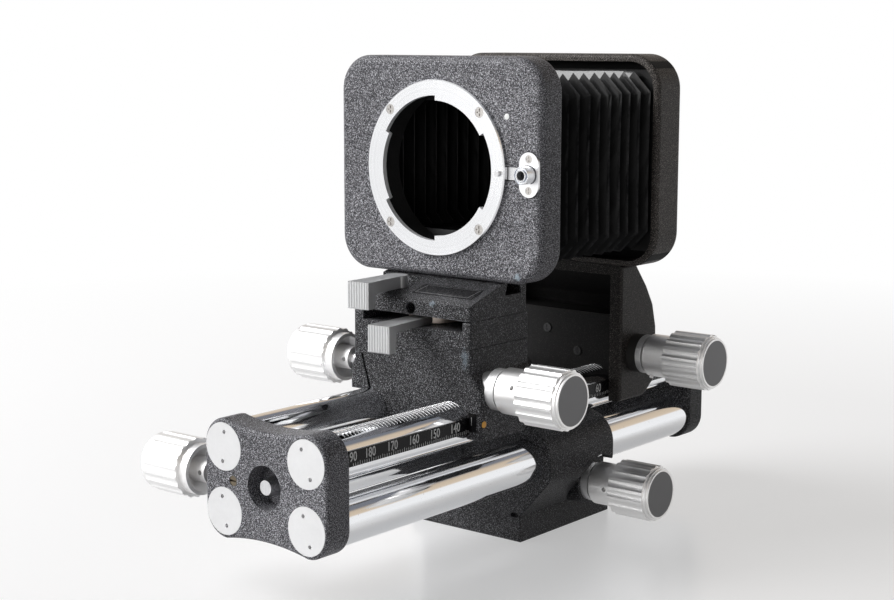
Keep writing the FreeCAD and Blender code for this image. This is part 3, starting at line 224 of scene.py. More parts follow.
def crinkleFinish(name, tone, hollow=None, grainShare=1.0):
    finish = Finish(name, specularIorLevel=crinkle["gloss"])
    lumps = finish.noise(crinkle["grain"] * grainShare, 2.0, 0.6)
    drift = finish.noise(crinkle["drift"])
    # the pale top of the ramp is painted glints on the lumps
    colour = finish.ramp(lumps + (drift - 0.5) * crinkle["driftShare"], crinkle[tone])
    roughness = crinkle["roughness"] + (lumps - 0.5) * 0.4
    # the hollows get painted shade
    if hollow:
        inside = hollow(finish)
        colour = finish.blend(inside, colour, crinkle["inside"])
        roughness = roughness + inside * 0.2
    x, y, z = finish.axes()
    flakes = finish.noise(crinkle["flakes"], 3.0, 0.7)
    for (acrossAt, alongAt, upAt), radius, stretch, bare in crinkle["chips"]:
        across = x - acrossAt * mm
        up = (z - upAt * mm) / stretch
        reach = fromAxis(across, up) + finish.size(y - alongAt * mm) + flakes * crinkle["ragged"]
        chip = finish.below(reach, radius * mm + crinkle["ragged"] / 2, crinkle["chipSoft"])
        colour = finish.blend(chip * bare, colour, crinkle["chipped"])
    finish.feed(baseColor=colour, roughness=roughness)
    finish.bump(lumps, crinkle["height"], 0.8)
    return finish.material


# where the hollows get painted shade
hollows = {
    "throat": 28.3 * mm,                # radius
    "frameSide": 2.35 * mm,             # walls of the pocket
    "frameTop": 2.45 * mm,
    "frameFace": 0.9 * mm,              # how far the outer paint goes in
    "cheek": 4.6 * mm,                  # thickness, with its rounded edge
    "cheekFace": 0.5 * mm,
    "cheekTop": 0.4 * mm,
    "cheekShare": 0.85,                 # share of painted shade; some crinkle shows through
}


def throat(finish):
    # painted shade inside the lens throat
    x, _, z = finish.axes()
    return finish.below(fromAxis(x, z - opticalHeight), hollows["throat"])


def frameRecess(finish):
    # painted shade in the pocket in the rear frame that the bellows stands in
    x, y, z = finish.axes()
    low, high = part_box("rear_frame")
    across = finish.below(finish.size(x), (high.x - low.x) / 2 - hollows["frameSide"])
    up = finish.below(finish.size(z - opticalHeight), high.z - opticalHeight - hollows["frameTop"])
    return across * up * finish.below(low.y + hollows["frameFace"] - y, 0.0)


def archInside(finish):
    # painted shade between the cheeks of the rear carriage
    x, y, z = finish.axes()
    low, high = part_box("rear_carriage")
    across = finish.below(finish.size(x), high.x - hollows["cheek"])
    behind = finish.below(low.y + hollows["cheekFace"] - y, 0.0)
    return across * behind * finish.below(z, high.z - hollows["cheekTop"]) * hollows["cheekShare"]


rack = {
    "radius": 7.5 * mm,                 # of its tube
    "under": 7.46 * mm,                 # faces nearer to the tube's axis than this
    "over": 6.3 * mm,                   # and higher above it than this are cut through the plate
    "soft": 0.03 * mm,
    "oily": (0.15, 0.15, 0.155),
    "dry": (0.30, 0.30, 0.305),
}


def chromeFinish(name, toothed=False):
    finish = Finish(name, metallic=1.0)
    pits = finish.noise(900, 3.0, 0.7)
    haze = finish.noise(30, 3.0, 0.6)
    dust = finish.ramp(pits, [(0.66, 0.0), (0.74, 1.0)])
    colour = finish.blend(dust, (0.84, 0.85, 0.87), (0.60, 0.60, 0.61))
    roughness = 0.045 + haze * 0.06 + dust * 0.2
    if toothed:
        x, _, z = finish.axes()
        tubeLow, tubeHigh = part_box("upper_right_tube")
        up = z - (tubeHigh.z - rack["radius"])
        radius = fromAxis(x - (tubeLow.x + rack["radius"]), up)
        cut = finish.below(radius, rack["under"], rack["soft"]) * finish.below(rack["over"] - up, 0.0)
        oil = finish.noise(300, 3.0, 0.7)
        colour = finish.blend(cut, colour, finish.blend(oil, rack["oily"], rack["dry"]))
        roughness = roughness + cut * 0.40
        finish.feed(metallic=1 - cut * 0.35)
    finish.feed(baseColor=colour, roughness=roughness)
    return finish.material


turned = {
    "grooves": 9000,                    # per metre, on pieces turned about X
    "ringGrooves": 1300,                # and on those turned about the optical axis
    "height": 0.01 * mm,                # of a groove
    "bore": 24 * mm,                    # inside this radius,
    "boreFrom": 0.1 * mm,               # and from here back, the lens ring is left as turned
}


def turnedFinish(name, colour, roughness):
    # rings round X, so lines across it
    finish = Finish(name, metallic=1.0)
    rings = finish.lines(finish.axes()[0], turned["grooves"])
    stain = finish.noise(60, 3.0, 0.6)
    dim = tuple(c * 0.86 for c in colour)
    finish.feed(baseColor=finish.blend(rings * 0.6 + stain * 0.4, dim, colour),
                roughness=roughness + (rings - 0.5) * 0.12 + (stain - 0.5) * 0.1)
    finish.bump(rings, turned["height"], 0.5)
    return finish.material


def ringFinish(name, colour, roughness):
    # rings round the optical axis
    finish = Finish(name, metallic=1.0)
    x, y, z = finish.axes()
    radius = fromAxis(x, z - opticalHeight)
    rings = finish.lines(radius, turned["ringGrooves"], 1.0)
    stain = finish.noise(45, 3.0, 0.6)
    dim = tuple(c * 0.93 for c in colour)
    behind = finish.below(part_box("lens_ring")[0].y + turned["boreFrom"] - y, 0.0)
    wall = finish.below(radius, turned["bore"]) * behind
    finish.feed(baseColor=finish.blend(rings, dim, colour),
                roughness=roughness + (stain - 0.5) * 0.12 + wall * 0.42)
    return finish.material


def plainMetal(name, colour, roughness, metallic=1.0, grain=420, gloss=0.5):
    finish = Finish(name, metallic=metallic, specularIorLevel=gloss)
    grainNoise = finish.noise(grain, 4.0, 0.65)
    stain = finish.noise(70, 3.0, 0.6)
    dim = tuple(c * 0.82 for c in colour)
    finish.feed(baseColor=finish.blend(grainNoise * 0.5 + stain * 0.5, dim, colour),
                roughness=roughness + (grainNoise - 0.5) * 0.16 + (stain - 0.5) * 0.12)
    finish.bump(grainNoise, 0.01 * mm, 0.3)
    return finish.material


def bushFinish(name, node, bare=100 * mm):
    # a satin flange; what lies further from its outer face than the bare part is painted with the casting
    finish = Finish(name)
    painted = finish.below(finish.axes()[0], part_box(node)[1].x - bare)
    shade = finish.blend(finish.noise(700, 3.0, 0.6), (0.72, 0.72, 0.72), (0.86, 0.86, 0.865))
    finish.feed(baseColor=finish.blend(painted, shade, (0.016, 0.015, 0.014)),
                roughness=0.42 + painted * 0.2, metallic=0.6 - painted * 0.6)
    return finish.material


cloth = {
    "fresh": (0.003, 0.003, 0.0034),
    # creases: worn, and lightened as a painted highlight
    "rubbedSheen": (0.045, 0.045, 0.048),
    "weave": 2600,                      # threads per metre
    "ripple": 90,
    "height": 0.5 * mm,
    "glossFrom": 19 * mm,               # above the optical axis, where the folds are handled
    "glossSoft": 4 * mm,
}


def clothFinish(name):
    # laminated cloth: near black and glossy, with a fine weave; its creases are lightened for wear and as a
    # painted highlight
    finish = Finish(name, specularIorLevel=0.20, coatRoughness=0.16)
    crease = finish.node("Attribute", {"attribute_name": "crease"}, output="Fac")
    weave = finish.noise(cloth["weave"], 1.0, 0.4)
    ripple = finish.noise(cloth["ripple"], 1.0, 0.4)
    rub = finish.noise(300, 3.0, 0.7)
    # the creases carry wear and a painted highlight
    worn = crease * finish.ramp(rub, [(0.38, 0.1), (0.62, 1.0)])
    z = finish.axes()[2]
    aloft = finish.below(opticalHeight + cloth["glossFrom"] - z, 0.0, cloth["glossSoft"])
    finish.feed(baseColor=finish.blend(worn, cloth["fresh"], cloth["rubbedSheen"]),
                roughness=0.44 + (weave - 0.5) * 0.12, coatWeight=aloft * 0.9)
    finish.bump(ripple + weave * 0.05, cloth["height"], 0.35)
    return finish.material


finishes = {
    "crinkle_black": crinkleFinish("crinkle-black", "dark"),
    "chrome_tube": chromeFinish("chrome-tube"),
    "satin_white_metal": plainMetal("satin-white-metal", (0.80, 0.80, 0.805), 0.38, metallic=0.5, grain=700),
    "satin_aluminium": turnedFinish("turned-aluminium", (0.93, 0.925, 0.92), 0.46),
    "dark_cap": plainMetal("dark-anodised", (0.20, 0.20, 0.205), 0.42, metallic=0.4, grain=500),
    "grey_lever": plainMetal("grey-anodised", (0.66, 0.665, 0.67), 0.40, metallic=0.75, grain=1500),
    "satin_chrome": ringFinish("satin-chrome", (0.80, 0.805, 0.82), 0.24),
    "steel": turnedFinish("bright-steel", (0.62, 0.62, 0.63), 0.28),
    "plated_brass": turnedFinish("nickel-plate", (0.72, 0.71, 0.68), 0.24),
    "brass": plainMetal("bare-brass", (0.71, 0.52, 0.24), 0.30),
    "black_plate": plainMetal("black-satin-plate", (0.006, 0.006, 0.007), 0.26, metallic=0.0, grain=800,
                              gloss=0.16),
    "bellows_cloth": clothFinish("bellows-cloth"),
    "black_frame": plainMetal("matt-black", (0.012, 0.012, 0.013), 0.55, metallic=0.0),
}
ringScrew = plainMetal("ring-screws", (0.50, 0.48, 0.46), 0.30)
special = {
    "lens_ring_screws": ringScrew,
    "release_plate_screws": ringScrew,
    "release_plate": plainMetal("plate-chrome", (0.80, 0.80, 0.81), 0.30, grain=150),
    # the panel and the end plate take the pale, lit copy of the crinkle: painted light
    "front_panel": crinkleFinish("crinkle-panel", "pale", throat),
    # painted shade in the rear frame's pocket
    "rear_frame": crinkleFinish("crinkle-frame", "brown", frameRecess, 1.3),
    # the rear carriage takes the shaded copy of the crinkle and painted shade between its cheeks
    "rear_carriage": crinkleFinish("crinkle-carriage", "shaded", archInside, 1.2),
    "front_end_plate": crinkleFinish("crinkle-plate", "pale"),
    "upper_right_tube": chromeFinish("chrome-rack-tube", True),
    "front_bearing_bush": bushFinish("front-flange", "front_bearing_bush"),
    "rear_bearing_bush": bushFinish("rear-flange", "rear_bearing_bush", 2.3 * mm),
    "focus_bearing_bush": bushFinish("focus-flange", "focus_bearing_bush"),
    "swing_lock_hub": plainMetal("worn-plate", (0.70, 0.60, 0.53), 0.36, metallic=0.7),
    "rear_web_screws": finishes["black_frame"],
    "end_plate_set_screw": plainMetal("dull-screw", (0.16, 0.13, 0.09), 0.40, metallic=0.7),
}


def paint(piece, material):
    piece.data.materials.clear()
    piece.data.materials.append(material)


for row in frame["record"]["subparts"]:
    paint(nodes[row["node"]], special.get(row["node"], finishes[row["material_slot"]]))
print("finishes made,", len(finishes) + len(special))


def meshPiece(name, mesh, material, body=None):
    piece = bpy.data.objects.new(name, mesh)
    scene.collection.objects.link(piece)
    paint(piece, material)
    if body:
        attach(piece, body)
    return piece


def finished(source, name):
    # the mesh of an object with its modifiers applied; the object itself goes
    bpy.context.view_layer.update()
    graph = bpy.context.evaluated_depsgraph_get()
    mesh = bpy.data.meshes.new_from_object(source.evaluated_get(graph))
    mesh.name = name
    bpy.data.objects.remove(source)
    return mesh


def boxOn(bm, low, high):
    # a small block between two corners, into a bmesh
    centre = [(a + b) / 2 for a, b in zip(low, high)]
    size = [b - a for a, b in zip(low, high)]
    bmesh.ops.create_cube(bm, size=1.0, matrix=Matrix.Translation(centre) @ Matrix.Diagonal((*size, 1.0)))


def circle(radius, sides):
    angles = [2 * math.pi * step / sides for step in range(sides)]
    return [(radius * math.cos(angle), radius * math.sin(angle)) for angle in angles]


def bridge(bm, first, second):
    # a band of faces between two closed rows of vertices
    for index in range(len(first)):
        after = (index + 1) % len(first)
        bm.faces.new((first[index], first[after], second[after], second[index]))


def newMesh(name, bm, smooth=False):
    mesh = bpy.data.meshes.new(name)
    bm.to_mesh(mesh)
    bm.free()
    if smooth:
        mesh.shade_smooth()
    return mesh


pleats = {
    "count": 10,
    "front": -41.0 * mm,
    "rear": 18.5 * mm,
    "halfWidth": 38.0 * mm,
    "halfHeight": 30.9 * mm,
    "corner": 7.0 * mm,
    "cornerShare": 0.45,      # how much of the depth the corners follow
    "sideSteps": 10,
    "cornerSteps": 2,
    "depth": 8.4 * mm,
    "wall": 0.34 * mm,
    "stations": (0.0, 0.05, 0.25, 0.44, 0.5, 0.56, 0.75, 0.95, 1.0),    # sections of one fold
    "edge": 0.07,             # share of a half fold that counts as crease, lightened for wear and as a painted highlight
    "uneven": 0.35 * mm,      # ridges stand this much lower at most
    "lean": 0.035,            # and this share of a fold nearer to one end
    "puff": 0.05,             # the walls stand a little full
    "sway": -0.25 * mm,       # and the ridges' long sides a little hollow
    "wobble": 0.08 * mm,      # unevenness of the cloth
    # for each span, the body at its lens end, the body at its far end, and how many folds it holds, from the
    # lens end
    "shares": [("front_panel", "swing_head", 1), ("swing_head", "front_carriage", 3),
               ("front_carriage", "rail", 4), ("rail", "rear_carriage", 2)],
}
pitch = (pleats["rear"] - pleats["front"]) / pleats["count"]


def pleatOutline(inset, sway):
    # corners of one section, clockwise from the right side, with points along each side
    wide = pleats["halfWidth"] - inset
    tall = pleats["halfHeight"] - inset
    corner = pleats["corner"] - pleats["cornerShare"] * inset
    corners = [(wide, tall - corner), (wide - corner, tall), (corner - wide, tall), (-wide, tall - corner),
               (-wide, corner - tall), (corner - wide, -tall), (wide - corner, -tall), (wide, corner - tall)]
    points = []
    for index, start in enumerate(corners):
        end = corners[(index + 1) % len(corners)]
        steps = pleats["sideSteps"] if index % 2 else pleats["cornerSteps"]
        for step in range(steps):
            share = step / steps
            swell = math.sin(math.pi * share) * sway * (index % 2)
            x = start[0] + (end[0] - start[0]) * share
            z = start[1] + (end[1] - start[1]) * share
            reach = math.hypot(x, z)
            points.append((x * (1 + swell / reach), z * (1 + swell / reach)))
    return points


def pleatMesh(number):
    start = pleats["front"] + pitch * number
    ridgeDrop = random.uniform(0, pleats["uneven"])
    ridgeLean = random.uniform(-pleats["lean"], pleats["lean"])
    bm = bmesh.new()
    worn = bm.verts.layers.float.new("crease")
    rows = []
    for share in pleats["stations"]:
        up = 1 - abs(2 * share - 1)      # 0 in the valley, 1 on the ridge
        puff = pleats["puff"] * math.sin(math.pi * min(1.0, up * 1.02))
        inset = pleats["depth"] * (1 - up - puff * (1 - up)) + ridgeDrop * up
        y = start + pitch * (share + ridgeLean * up)
        row = []
        for x, z in pleatOutline(inset, pleats["sway"] * up):
            wobble = random.uniform(-pleats["wobble"], pleats["wobble"]) if 0 < share < 1 else 0
            vertex = bm.verts.new((x, y + wobble, opticalHeight + z))
            vertex[worn] = max(0.0, 1 - (1 - up) / pleats["edge"])
            row.append(vertex)
        rows.append(row)
    for first, second in zip(rows, rows[1:]):
        bridge(bm, first, second)
    bmesh.ops.recalc_face_normals(bm, faces=bm.faces)
    mesh = newMesh(f"bellows_fold_{number + 1}", bm)
    shell = bpy.data.objects.new("shell", mesh)
    scene.collection.objects.link(shell)
    thicken = shell.modifiers.new("wall", "SOLIDIFY")
    thicken.thickness = pleats["wall"]
    thicken.offset = -1
    return finished(shell, mesh.name)


def easeBack(weight):
    # the share along a blend at which its smooth weight has this value
    return 0.5 - math.sin(math.asin(1 - 2 * weight) / 3)


number = 0
for bodyFront, bodyRear, count in pleats["shares"]:
    for step in range(count):
        fold = meshPiece(f"bellows_fold_{number + 1}", pleatMesh(number), finishes["bellows_cloth"])
        near = easeBack(step / count)
        far = easeBack((step + 1) / count)
        reach = pitch / (far - near)
        start = pleats["front"] + pitch * number - near * reach
        start + reach
        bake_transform(fold)
        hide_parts("bellows")
        number += 1
print("bellows made,", number, "folds")


scale = {
    "zeroAt": 67.2 * mm,        # where the scale would read zero
    "first": 2,
    "last": 189,
    "firstNumber": 20,
    "margin": 3 * mm,           # no figures nearer to the strip's ends than this
    "endNumber": "90",          # its first figure is cut off by the strip's end
    "endShift": 1.9 * mm,
    "numberHeight": 4.05 * mm,  # type size: the figures are about 0.7 of it
    "squeeze": 0.80,
    "bold": 0.012,              # share of the type size
    "numberRise": 1.62 * mm,    # foot of the figures above the strip's lower edge
    "numberShift": 0.5 * mm,
    "tickWidth": 0.2 * mm,
    "ticks": {1: 0.95 * mm, 5: 1.25 * mm, 10: 1.6 * mm},
    "tickFoot": 0.12 * mm,
    "tickRoot": 0.02 * mm,      # in the strip
    "thickness": 0.03 * mm,
}
stripLow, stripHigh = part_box("scale_strip")
scalePaint = Finish("scale-white", roughness=0.5)
scalePaint.feed(baseColor=scalePaint.blend(scalePaint.noise(1500), (0.86, 0.86, 0.85), (0.66, 0.66, 0.65)))


def figures(text, y):
    # upright figures on the strip's outer face, which looks along +X
    curve = bpy.data.curves.new("figures", "FONT")
    curve.body = text
    curve.size = scale["numberHeight"]
    curve.align_x = "CENTER"
    curve.extrude = scale["thickness"] / 2
    curve.offset = scale["numberHeight"] * scale["bold"]
    curve.resolution_u = 4
    holder = bpy.data.objects.new("figures", curve)
    scene.collection.objects.link(holder)
    upright = Matrix(((0, 0, 1, 0), (1, 0, 0, 0), (0, 1, 0, 0), (0, 0, 0, 1)))
    place = (Matrix.Translation((stripHigh.x, y, stripLow.z + scale["numberRise"])) @ upright
             @ Matrix.Diagonal((scale["squeeze"], 1, 1, 1)))
    mesh = finished(holder, "figures")
    mesh.transform(place)
    return mesh


bm = bmesh.new()
for reading in range(scale["firstNumber"], scale["last"], 10):
    y = scale["zeroAt"] - reading * mm - scale["numberShift"]
    if stripLow.y + scale["margin"] < y < stripHigh.y - scale["margin"]:
        bm.from_mesh(figures(str(reading), y))
bm.from_mesh(figures(scale["endNumber"], stripLow.y + scale["endShift"]))
for reading in range(scale["first"], scale["last"]):
    y = scale["zeroAt"] - reading * mm
    length = scale["ticks"][10 if reading % 10 == 0 else 5 if reading % 5 == 0 else 1]
    foot = stripLow.z + scale["tickFoot"]
    half = scale["tickWidth"] / 2
    boxOn(bm, (stripHigh.x - scale["tickRoot"], y - half, foot),
          (stripHigh.x + scale["thickness"] / 2, y + half, foot + length))
meshPiece("scale_marks", newMesh("scale_marks", bm), scalePaint.material, "rail")
print("scale made")


marks = {
    "panelDot": Vector((28.53, -53.0, 147.05)) * mm,
    "panelDotRadius": 1.05 * mm,
    "cheekDot": Vector((29.8, -65.2, 50.6)) * mm,
    "cheekDotRadius": 1.2 * mm,
    "dome": 0.12 * mm,
    "sink": 0.06 * mm,          # the dome's edge goes this deep into the casting
    "rings": 5,
    "sides": 24,
    "hairline": Vector((0.22, 0.04, 2.6)) * mm,
    "hairlineShift": Vector((-0.3, 0, 0.4)) * mm,    # from the middle of the pointer's front face
}


def dot(name, centre, radius, outward, material, body):
    # a paint-filled dimple: a low dome that stands a hair proud
    bm = bmesh.new()
    place = Matrix.Translation(centre) @ outward.to_track_quat("Z", "Y").to_matrix().to_4x4()
    tip = bm.verts.new(place @ Vector((0, 0, marks["dome"])))
    before = None
    for ring in range(1, marks["rings"] + 1):
        share = ring / marks["rings"]
        high = marks["dome"] * (1 - share ** 3) - (marks["sink"] if ring == marks["rings"] else 0)
        points = circle(radius * share, marks["sides"])
        row = [bm.verts.new(place @ Vector((*point, high))) for point in points]
        if before:
            bridge(bm, row, before)
        else:
            for step in range(marks["sides"]):
                bm.faces.new((tip, row[step], row[(step + 1) % marks["sides"]]))
        before = row
    return meshPiece(name, newMesh(name, bm, True), material, body)


def enamel(name, colour):
    finish = Finish(name, roughness=0.35)
    finish.feed(baseColor=finish.blend(finish.noise(900, 3.0), tuple(c * 0.85 for c in colour), colour))
    return finish.material


dot("index_dot", marks["panelDot"], marks["panelDotRadius"], Vector((0, -1, 0)),
    enamel("white-enamel", (0.93, 0.93, 0.92)), "front_panel")
dot("cheek_dot", marks["cheekDot"], marks["cheekDotRadius"], Vector((1, 0, 0)),
    enamel("orange-enamel", (0.86, 0.42, 0.05)), "front_carriage")
pointerLow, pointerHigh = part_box("index_pointer")
middle = (pointerLow + pointerHigh) / 2 + marks["hairlineShift"]
middle.y = pointerLow.y
bm = bmesh.new()
boxOn(bm, middle - marks["hairline"] / 2, middle + marks["hairline"] / 2)
meshPiece("pointer_hairline", newMesh("pointer_hairline", bm), finishes["grey_lever"], "front_carriage")
print("index marks made")


plate = {
    "inset": 0.55 * mm,
    "line": 0.16 * mm,
    "proud": 0.02 * mm,
    "sideShare": 1.4,           # the inset at the plate's ends, as a share of that along its edges
    "lean": 1.21 * mm,          # the frame line leans, as a parallelogram
}


def plateTop():
    # the nameplate's upper face: its two ends, its lower and upper corner, and its outward direction
    mesh = nodes["nameplate"].data
    up = max(mesh.polygons, key=lambda face: face.normal.z * face.area)
    top = [v.co for v in mesh.vertices if abs((v.co - up.center).dot(up.normal)) < 0.01 * mm]
    left, right = min(v.x for v in top), max(v.x for v in top)
    front = min(top, key=lambda v: v.y)
    rear = max(top, key=lambda v: v.y)
    return left, right, front, rear, up.normal.copy()


left, right, front, rear, outward = plateTop()
slope = rear - front
slope.x = 0
depth = slope.length
slope.normalize()
base = Vector((0, front.y, front.z)) + outward * plate["proud"]


def borderRow(bm, inset):
    # the four corners of one side of the line
    lowLeft, highRight = left + inset * plate["sideShare"], right - inset * plate["sideShare"]
    places = [(lowLeft, inset), (highRight - plate["lean"], inset),
              (highRight, depth - inset), (lowLeft + plate["lean"], depth - inset)]
    return [bm.verts.new(base + Vector((across, 0, 0)) + slope * up) for across, up in places]


bm = bmesh.new()
bridge(bm, borderRow(bm, plate["inset"]), borderRow(bm, plate["inset"] + plate["line"]))
meshPiece("nameplate_border", newMesh("nameplate_border", bm), finishes["dark_cap"], "swing_head")
print("nameplate border made")


grub = {
    "radius": 0.72 * mm,
    "length": 3.0 * mm,
    "hex": 0.38 * mm,
    "hexDepth": 0.8 * mm,
    "sides": 24,
    # the knob, its turn in degrees, and the distances along it from its inner end and out from its axis
    "places": [("front", 22, 7.2 * mm, 5.9 * mm), ("rear", -65, 2.3 * mm, 8.3 * mm),
               ("focus", 0, 7.2 * mm, 5.9 * mm)],
}


def grubScrew(name, knob, body, turn, along, reach):
    low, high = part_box(knob)
    bm = bmesh.new()
    bottom, top = [[bm.verts.new((*point, level)) for point in circle(grub["radius"], grub["sides"])]
                   for level in (-grub["length"], 0)]
    rim, floor = [[bm.verts.new((*point, level)) for point in circle(grub["hex"], 6)]
                  for level in (0, -grub["hexDepth"])]
    bridge(bm, bottom, top)
    bridge(bm, rim, floor)
    bm.faces.new(floor)
    span = grub["sides"] // 6
    for side in range(6):
        edge = [top[(side * span + step) % grub["sides"]] for step in range(span + 1)]
        bm.faces.new((*edge, rim[(side + 1) % 6], rim[side]))
    bmesh.ops.recalc_face_normals(bm, faces=bm.faces)
    bm.transform(Matrix.Translation((low.x + along, (low.y + high.y) / 2, (low.z + high.z) / 2))
                 @ Matrix.Rotation(math.radians(90 - turn), 4, "X") @ Matrix.Translation((0, 0, reach)))
    return meshPiece(name, newMesh(name, bm), finishes["steel"], body)


for end, turn, along, reach in grub["places"]:
    grubScrew(f"{end}_knob_grub", f"{end}_drive_knob", f"{end}_drive", turn, along, reach)
print("grub screws made")


button = {
    "hole": 1.45 * mm,
    "holeDepth": 2.3 * mm,
    "groove": 2.25 * mm,       # radius of the groove between the tip and the rim
    "grooveWidth": 0.27 * mm,  # to each side of that radius
    "grooveDepth": 0.25 * mm,
    "rimBack": 0.30 * mm,      # the rim sits this far behind the tip
    "chamfer": 0.15 * mm,
    "stain": 0.03 * mm,        # the colours of hole and groove reach this far past their edges
    "sides": 64,
}
buttonLow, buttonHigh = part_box("release_button")
buttonCentre = (buttonLow + buttonHigh) / 2
tip = buttonLow.y
rim = tip + button["rimBack"]
floor = rim + button["grooveDepth"]


def turnedMesh(name, centre, outline):
    # turned about an axis along Y; the outline is (radius, y) pairs round the section
    bm = bmesh.new()
    rings = []
    for radius, y in outline:
        points = circle(radius, button["sides"])
        rings.append([bm.verts.new((centre.x + across, y, centre.z + up)) for across, up in points])
    for first, second in zip(rings, rings[1:]):
        bridge(bm, first, second)
    bm.faces.new(rings[0])
    bm.faces.new(rings[-1])
    bmesh.ops.recalc_face_normals(bm, faces=bm.faces)
    return newMesh(name, bm)


def buttonFinish(name):
    # bright turned tip, painted shade (near black) in the hole and blued in the groove
    finish = Finish(name)
    x, y, z = finish.axes()
    radius = fromAxis(x - buttonCentre.x, z - buttonCentre.z)
    # painted shade: the hole is coloured near black
    hole = finish.below(radius, button["hole"] + button["stain"])
    groove = finish.below(finish.size(radius - button["groove"]), button["grooveWidth"] + button["stain"])
    groove = groove * finish.below(y, floor)
    shade = finish.blend(finish.noise(500, 3.0), (0.66, 0.67, 0.69), (0.84, 0.85, 0.87))
    colour = finish.blend(groove, shade, (0.10, 0.17, 0.32))
    finish.feed(baseColor=finish.blend(hole, colour, (0.012, 0.013, 0.016)), metallic=0.8 - hole * 0.8,
                roughness=0.26 + hole * 0.3)
    return finish.material


chamfer = button["chamfer"]
grooveIn = button["groove"] - button["grooveWidth"]
grooveOut = button["groove"] + button["grooveWidth"]
rimRadius = (buttonHigh.x - buttonLow.x) / 2
buttonOutline = [
    (button["hole"], tip + button["holeDepth"]), (button["hole"], tip + chamfer),
    (button["hole"] + chamfer, tip), (grooveIn - chamfer, tip), (grooveIn, tip + chamfer), (grooveIn, floor),
    (grooveOut, floor), (grooveOut, rim), (rimRadius - chamfer, rim), (rimRadius, rim + chamfer),
    (rimRadius, buttonHigh.y),
]
buttonMesh = turnedMesh("release_button_turned", buttonCentre, buttonOutline)
releaseTip = meshPiece("release_button_turned", buttonMesh, buttonFinish("blued-button"), "lens_release")
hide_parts("release_button")
print("release button made")


coil = {"turns": 5.5, "wire": 0.16 * mm, "steps": 24, "play": 0.15 * mm}
springLow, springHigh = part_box("release_spring")
springMiddle = (springLow + springHigh) / 2
springRadius = springMiddle.x - springLow.x - coil["wire"] - coil["play"]
springFirst, springLast = springLow.y + coil["wire"], springHigh.y - coil["wire"]
springCurve = bpy.data.curves.new("release_coil", "CURVE")
springCurve.dimensions = "3D"
springCurve.bevel_depth = coil["wire"]
springCurve.bevel_resolution = 3
line = springCurve.splines.new("POLY")
steps = int(coil["turns"] * coil["steps"])
line.points.add(steps)
for index, point in enumerate(line.points):
    angle = 2 * math.pi * index / coil["steps"]
    point.co = (springMiddle.x + math.cos(angle) * springRadius,
                springFirst + (springLast - springFirst) * index / steps,
                springMiddle.z + math.sin(angle) * springRadius, 1)
springHolder = bpy.data.objects.new("release_coil", springCurve)
scene.collection.objects.link(springHolder)
spring = meshPiece("release_coil", finished(springHolder, "release_coil"), finishes["steel"], "front_panel")
spring.data.shade_smooth()
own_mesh(spring)
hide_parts("release_spring")
print("release spring made")


stage = {
    "size": 6.0,
    "under": -0.05 * mm,     # a hair below the foot
    "colour": (0.50, 0.50, 0.508),
    "lift": 0.42,            # added to the floor for the camera, so that it meets the white backdrop
    "fadeFrom": 0.26,
    "fadeOver": 0.42,
}
bm = bmesh.new()
bmesh.ops.create_grid(bm, x_segments=1, y_segments=1, size=stage["size"] / 2)
floorPiece = bpy.data.objects.new("floor", newMesh("floor", bm))
scene.collection.objects.link(floorPiece)
floorPiece.location.z = stage["under"]
floorFinish = Finish("pale-floor", roughness=0.28, baseColor=stage["colour"], specularIorLevel=0.3)
x, y, z = floorFinish.axes()
far = floorFinish.held("DIVIDE", fromAxis(x, y) - stage["fadeFrom"], stage["fadeOver"])
seen = floorFinish.held("ADD", floorFinish.ray("Is Camera Ray"), floorFinish.ray("Is Glossy Ray"))
lift = floorFinish.node("Emission", values={"Color": (1, 1, 1, 1), "Strength": seen * stage["lift"]})
lit = floorFinish.node("AddShader", values={0: Wire(floorFinish, floorFinish.shader.outputs[0]), 1: lift})
white = floorFinish.node("Emission", values={"Color": (1, 1, 1, 1), "Strength": 1.0})
above = floorFinish.node("MixShader", values={"Fac": far * seen, 1: lit, 2: white})
facing = floorFinish.node("NewGeometry", output="Backfacing")
clear = floorFinish.node("BsdfTransparent")              # from below, to show the underside
shown = floorFinish.node("MixShader", values={"Fac": facing, 1: above, 2: clear})
floorFinish.plug(floorFinish.tree.nodes["Material Output"].inputs["Surface"], shown)
paint(floorPiece, floorFinish.material)


class Surroundings(Finish):
    # The world takes nodes in the same way as a material.
    def __init__(self):
        self.world = bpy.data.worlds.new("studio")
        self.world.use_nodes = True
        self.tree = self.world.node_tree
        self.tree.nodes.clear()


room = {
    "ambient": 0.15,
    # what polished metal sees behind the object, by height: the white sweep, a tan wall, then a dim ceiling
    "heights": [(0.50, (1.0, 1.0, 1.0)), (0.640, (0.98, 0.98, 0.98)), (0.672, (0.74, 0.61, 0.47)),
                (0.755, (0.66, 0.54, 0.41)), (0.79, (0.20, 0.21, 0.24)), (1.0, (0.22, 0.23, 0.25))],
    "panels": (0.90, 0.90, 0.91),       # white panels before the object, to its left
    "panelsToward": (-1.3, -1.1),
    "panelsFrom": 0.1,
    "panelsTop": 0.25,
    "panelsFade": 0.15,
}
studio = Surroundings()
scene.world = studio.world
toX, toY, toZ = studio.axes(studio.node("TexCoord", output="Generated"))
toward = toX * room["panelsToward"][0] + toY * room["panelsToward"][1]
near = studio.held("ADD", toward, room["panelsFrom"])
lowDown = studio.below(room["panelsTop"] - toZ, 0.0, room["panelsFade"])
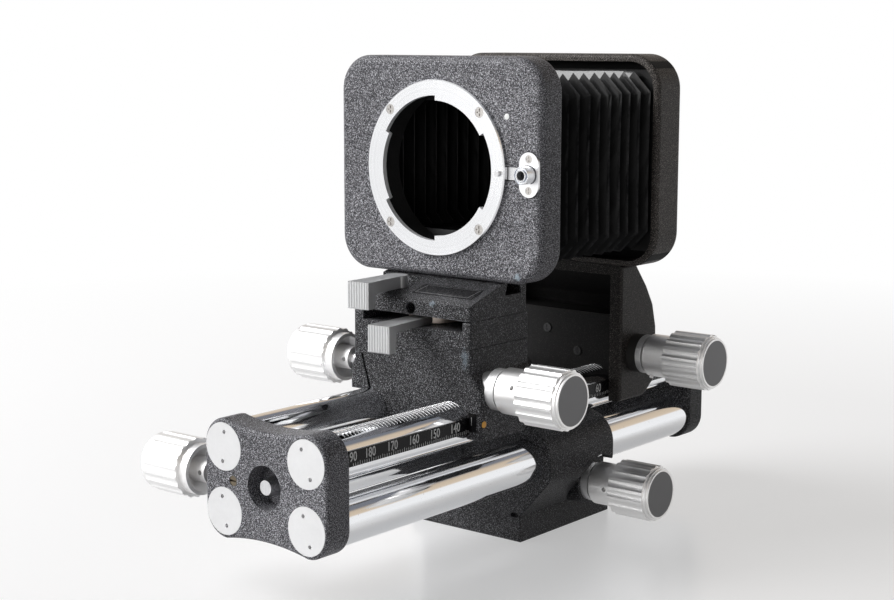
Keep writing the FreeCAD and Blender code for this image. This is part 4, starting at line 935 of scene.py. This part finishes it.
mirrored = studio.blend(near * lowDown, studio.ramp(toZ * 0.5 + 0.5, room["heights"]), room["panels"])
ambient = studio.blend(studio.ray("Is Glossy Ray"), (room["ambient"],) * 3, mirrored)
direct = studio.held("ADD", studio.ray("Is Camera Ray"), studio.ray("Is Transmission Ray"))
sky = studio.blend(direct, ambient, (1.0, 1.0, 1.0))
glow = studio.node("Background", values={"Color": sky, "Strength": 1.0})
studio.plug(studio.tree.nodes.new("ShaderNodeOutputWorld").inputs["Surface"], glow)

lamps = {
    "key": {"place": (-0.78, -0.78, 0.86), "size": (0.85, 0.85), "power": 18.5},
    "front": {"place": (-0.35, -1.35, 0.30), "size": (0.70, 0.50), "power": 4.2},
}
aim = Vector((0, -30, 80)) * mm
for name, lamp in lamps.items():
    light = bpy.data.lights.new(name, "AREA")
    light.shape = "RECTANGLE"
    light.size, light.size_y = lamp["size"]
    light.energy = lamp["power"]
    holder = bpy.data.objects.new(name, light)
    holder.location = lamp["place"]
    holder.rotation_euler = (aim - Vector(lamp["place"])).to_track_quat("-Z", "Y").to_euler()
    scene.collection.objects.link(holder)

shot = {
    "place": Vector((347.7, -474.07, 171.0)) * mm,
    "azimuth": 39.18,
    "elevation": 8.84,
    "roll": 0.105,
    "lens": 67.51,
    "sensor": 36,
    "near": 10 * mm,
}
azimuth, elevation = math.radians(shot["azimuth"]), math.radians(shot["elevation"])
back = Vector((math.sin(azimuth) * math.cos(elevation), -math.cos(azimuth) * math.cos(elevation),
               math.sin(elevation)))
camera = bpy.data.cameras.new("camera")
camera.sensor_width = shot["sensor"]
camera.lens = shot["lens"]
camera.clip_start = shot["near"]
cameraHolder = bpy.data.objects.new("camera", camera)
level = (-back).to_track_quat("-Z", "Y").to_matrix()
rolled = Matrix.Rotation(math.radians(shot["roll"]), 3, back) @ level
cameraHolder.matrix_world = Matrix.Translation(shot["place"]) @ rolled.to_4x4()
scene.collection.objects.link(cameraHolder)
scene.camera = cameraHolder
scene.view_settings.view_transform = "Standard"
print("stage, lights and camera made")
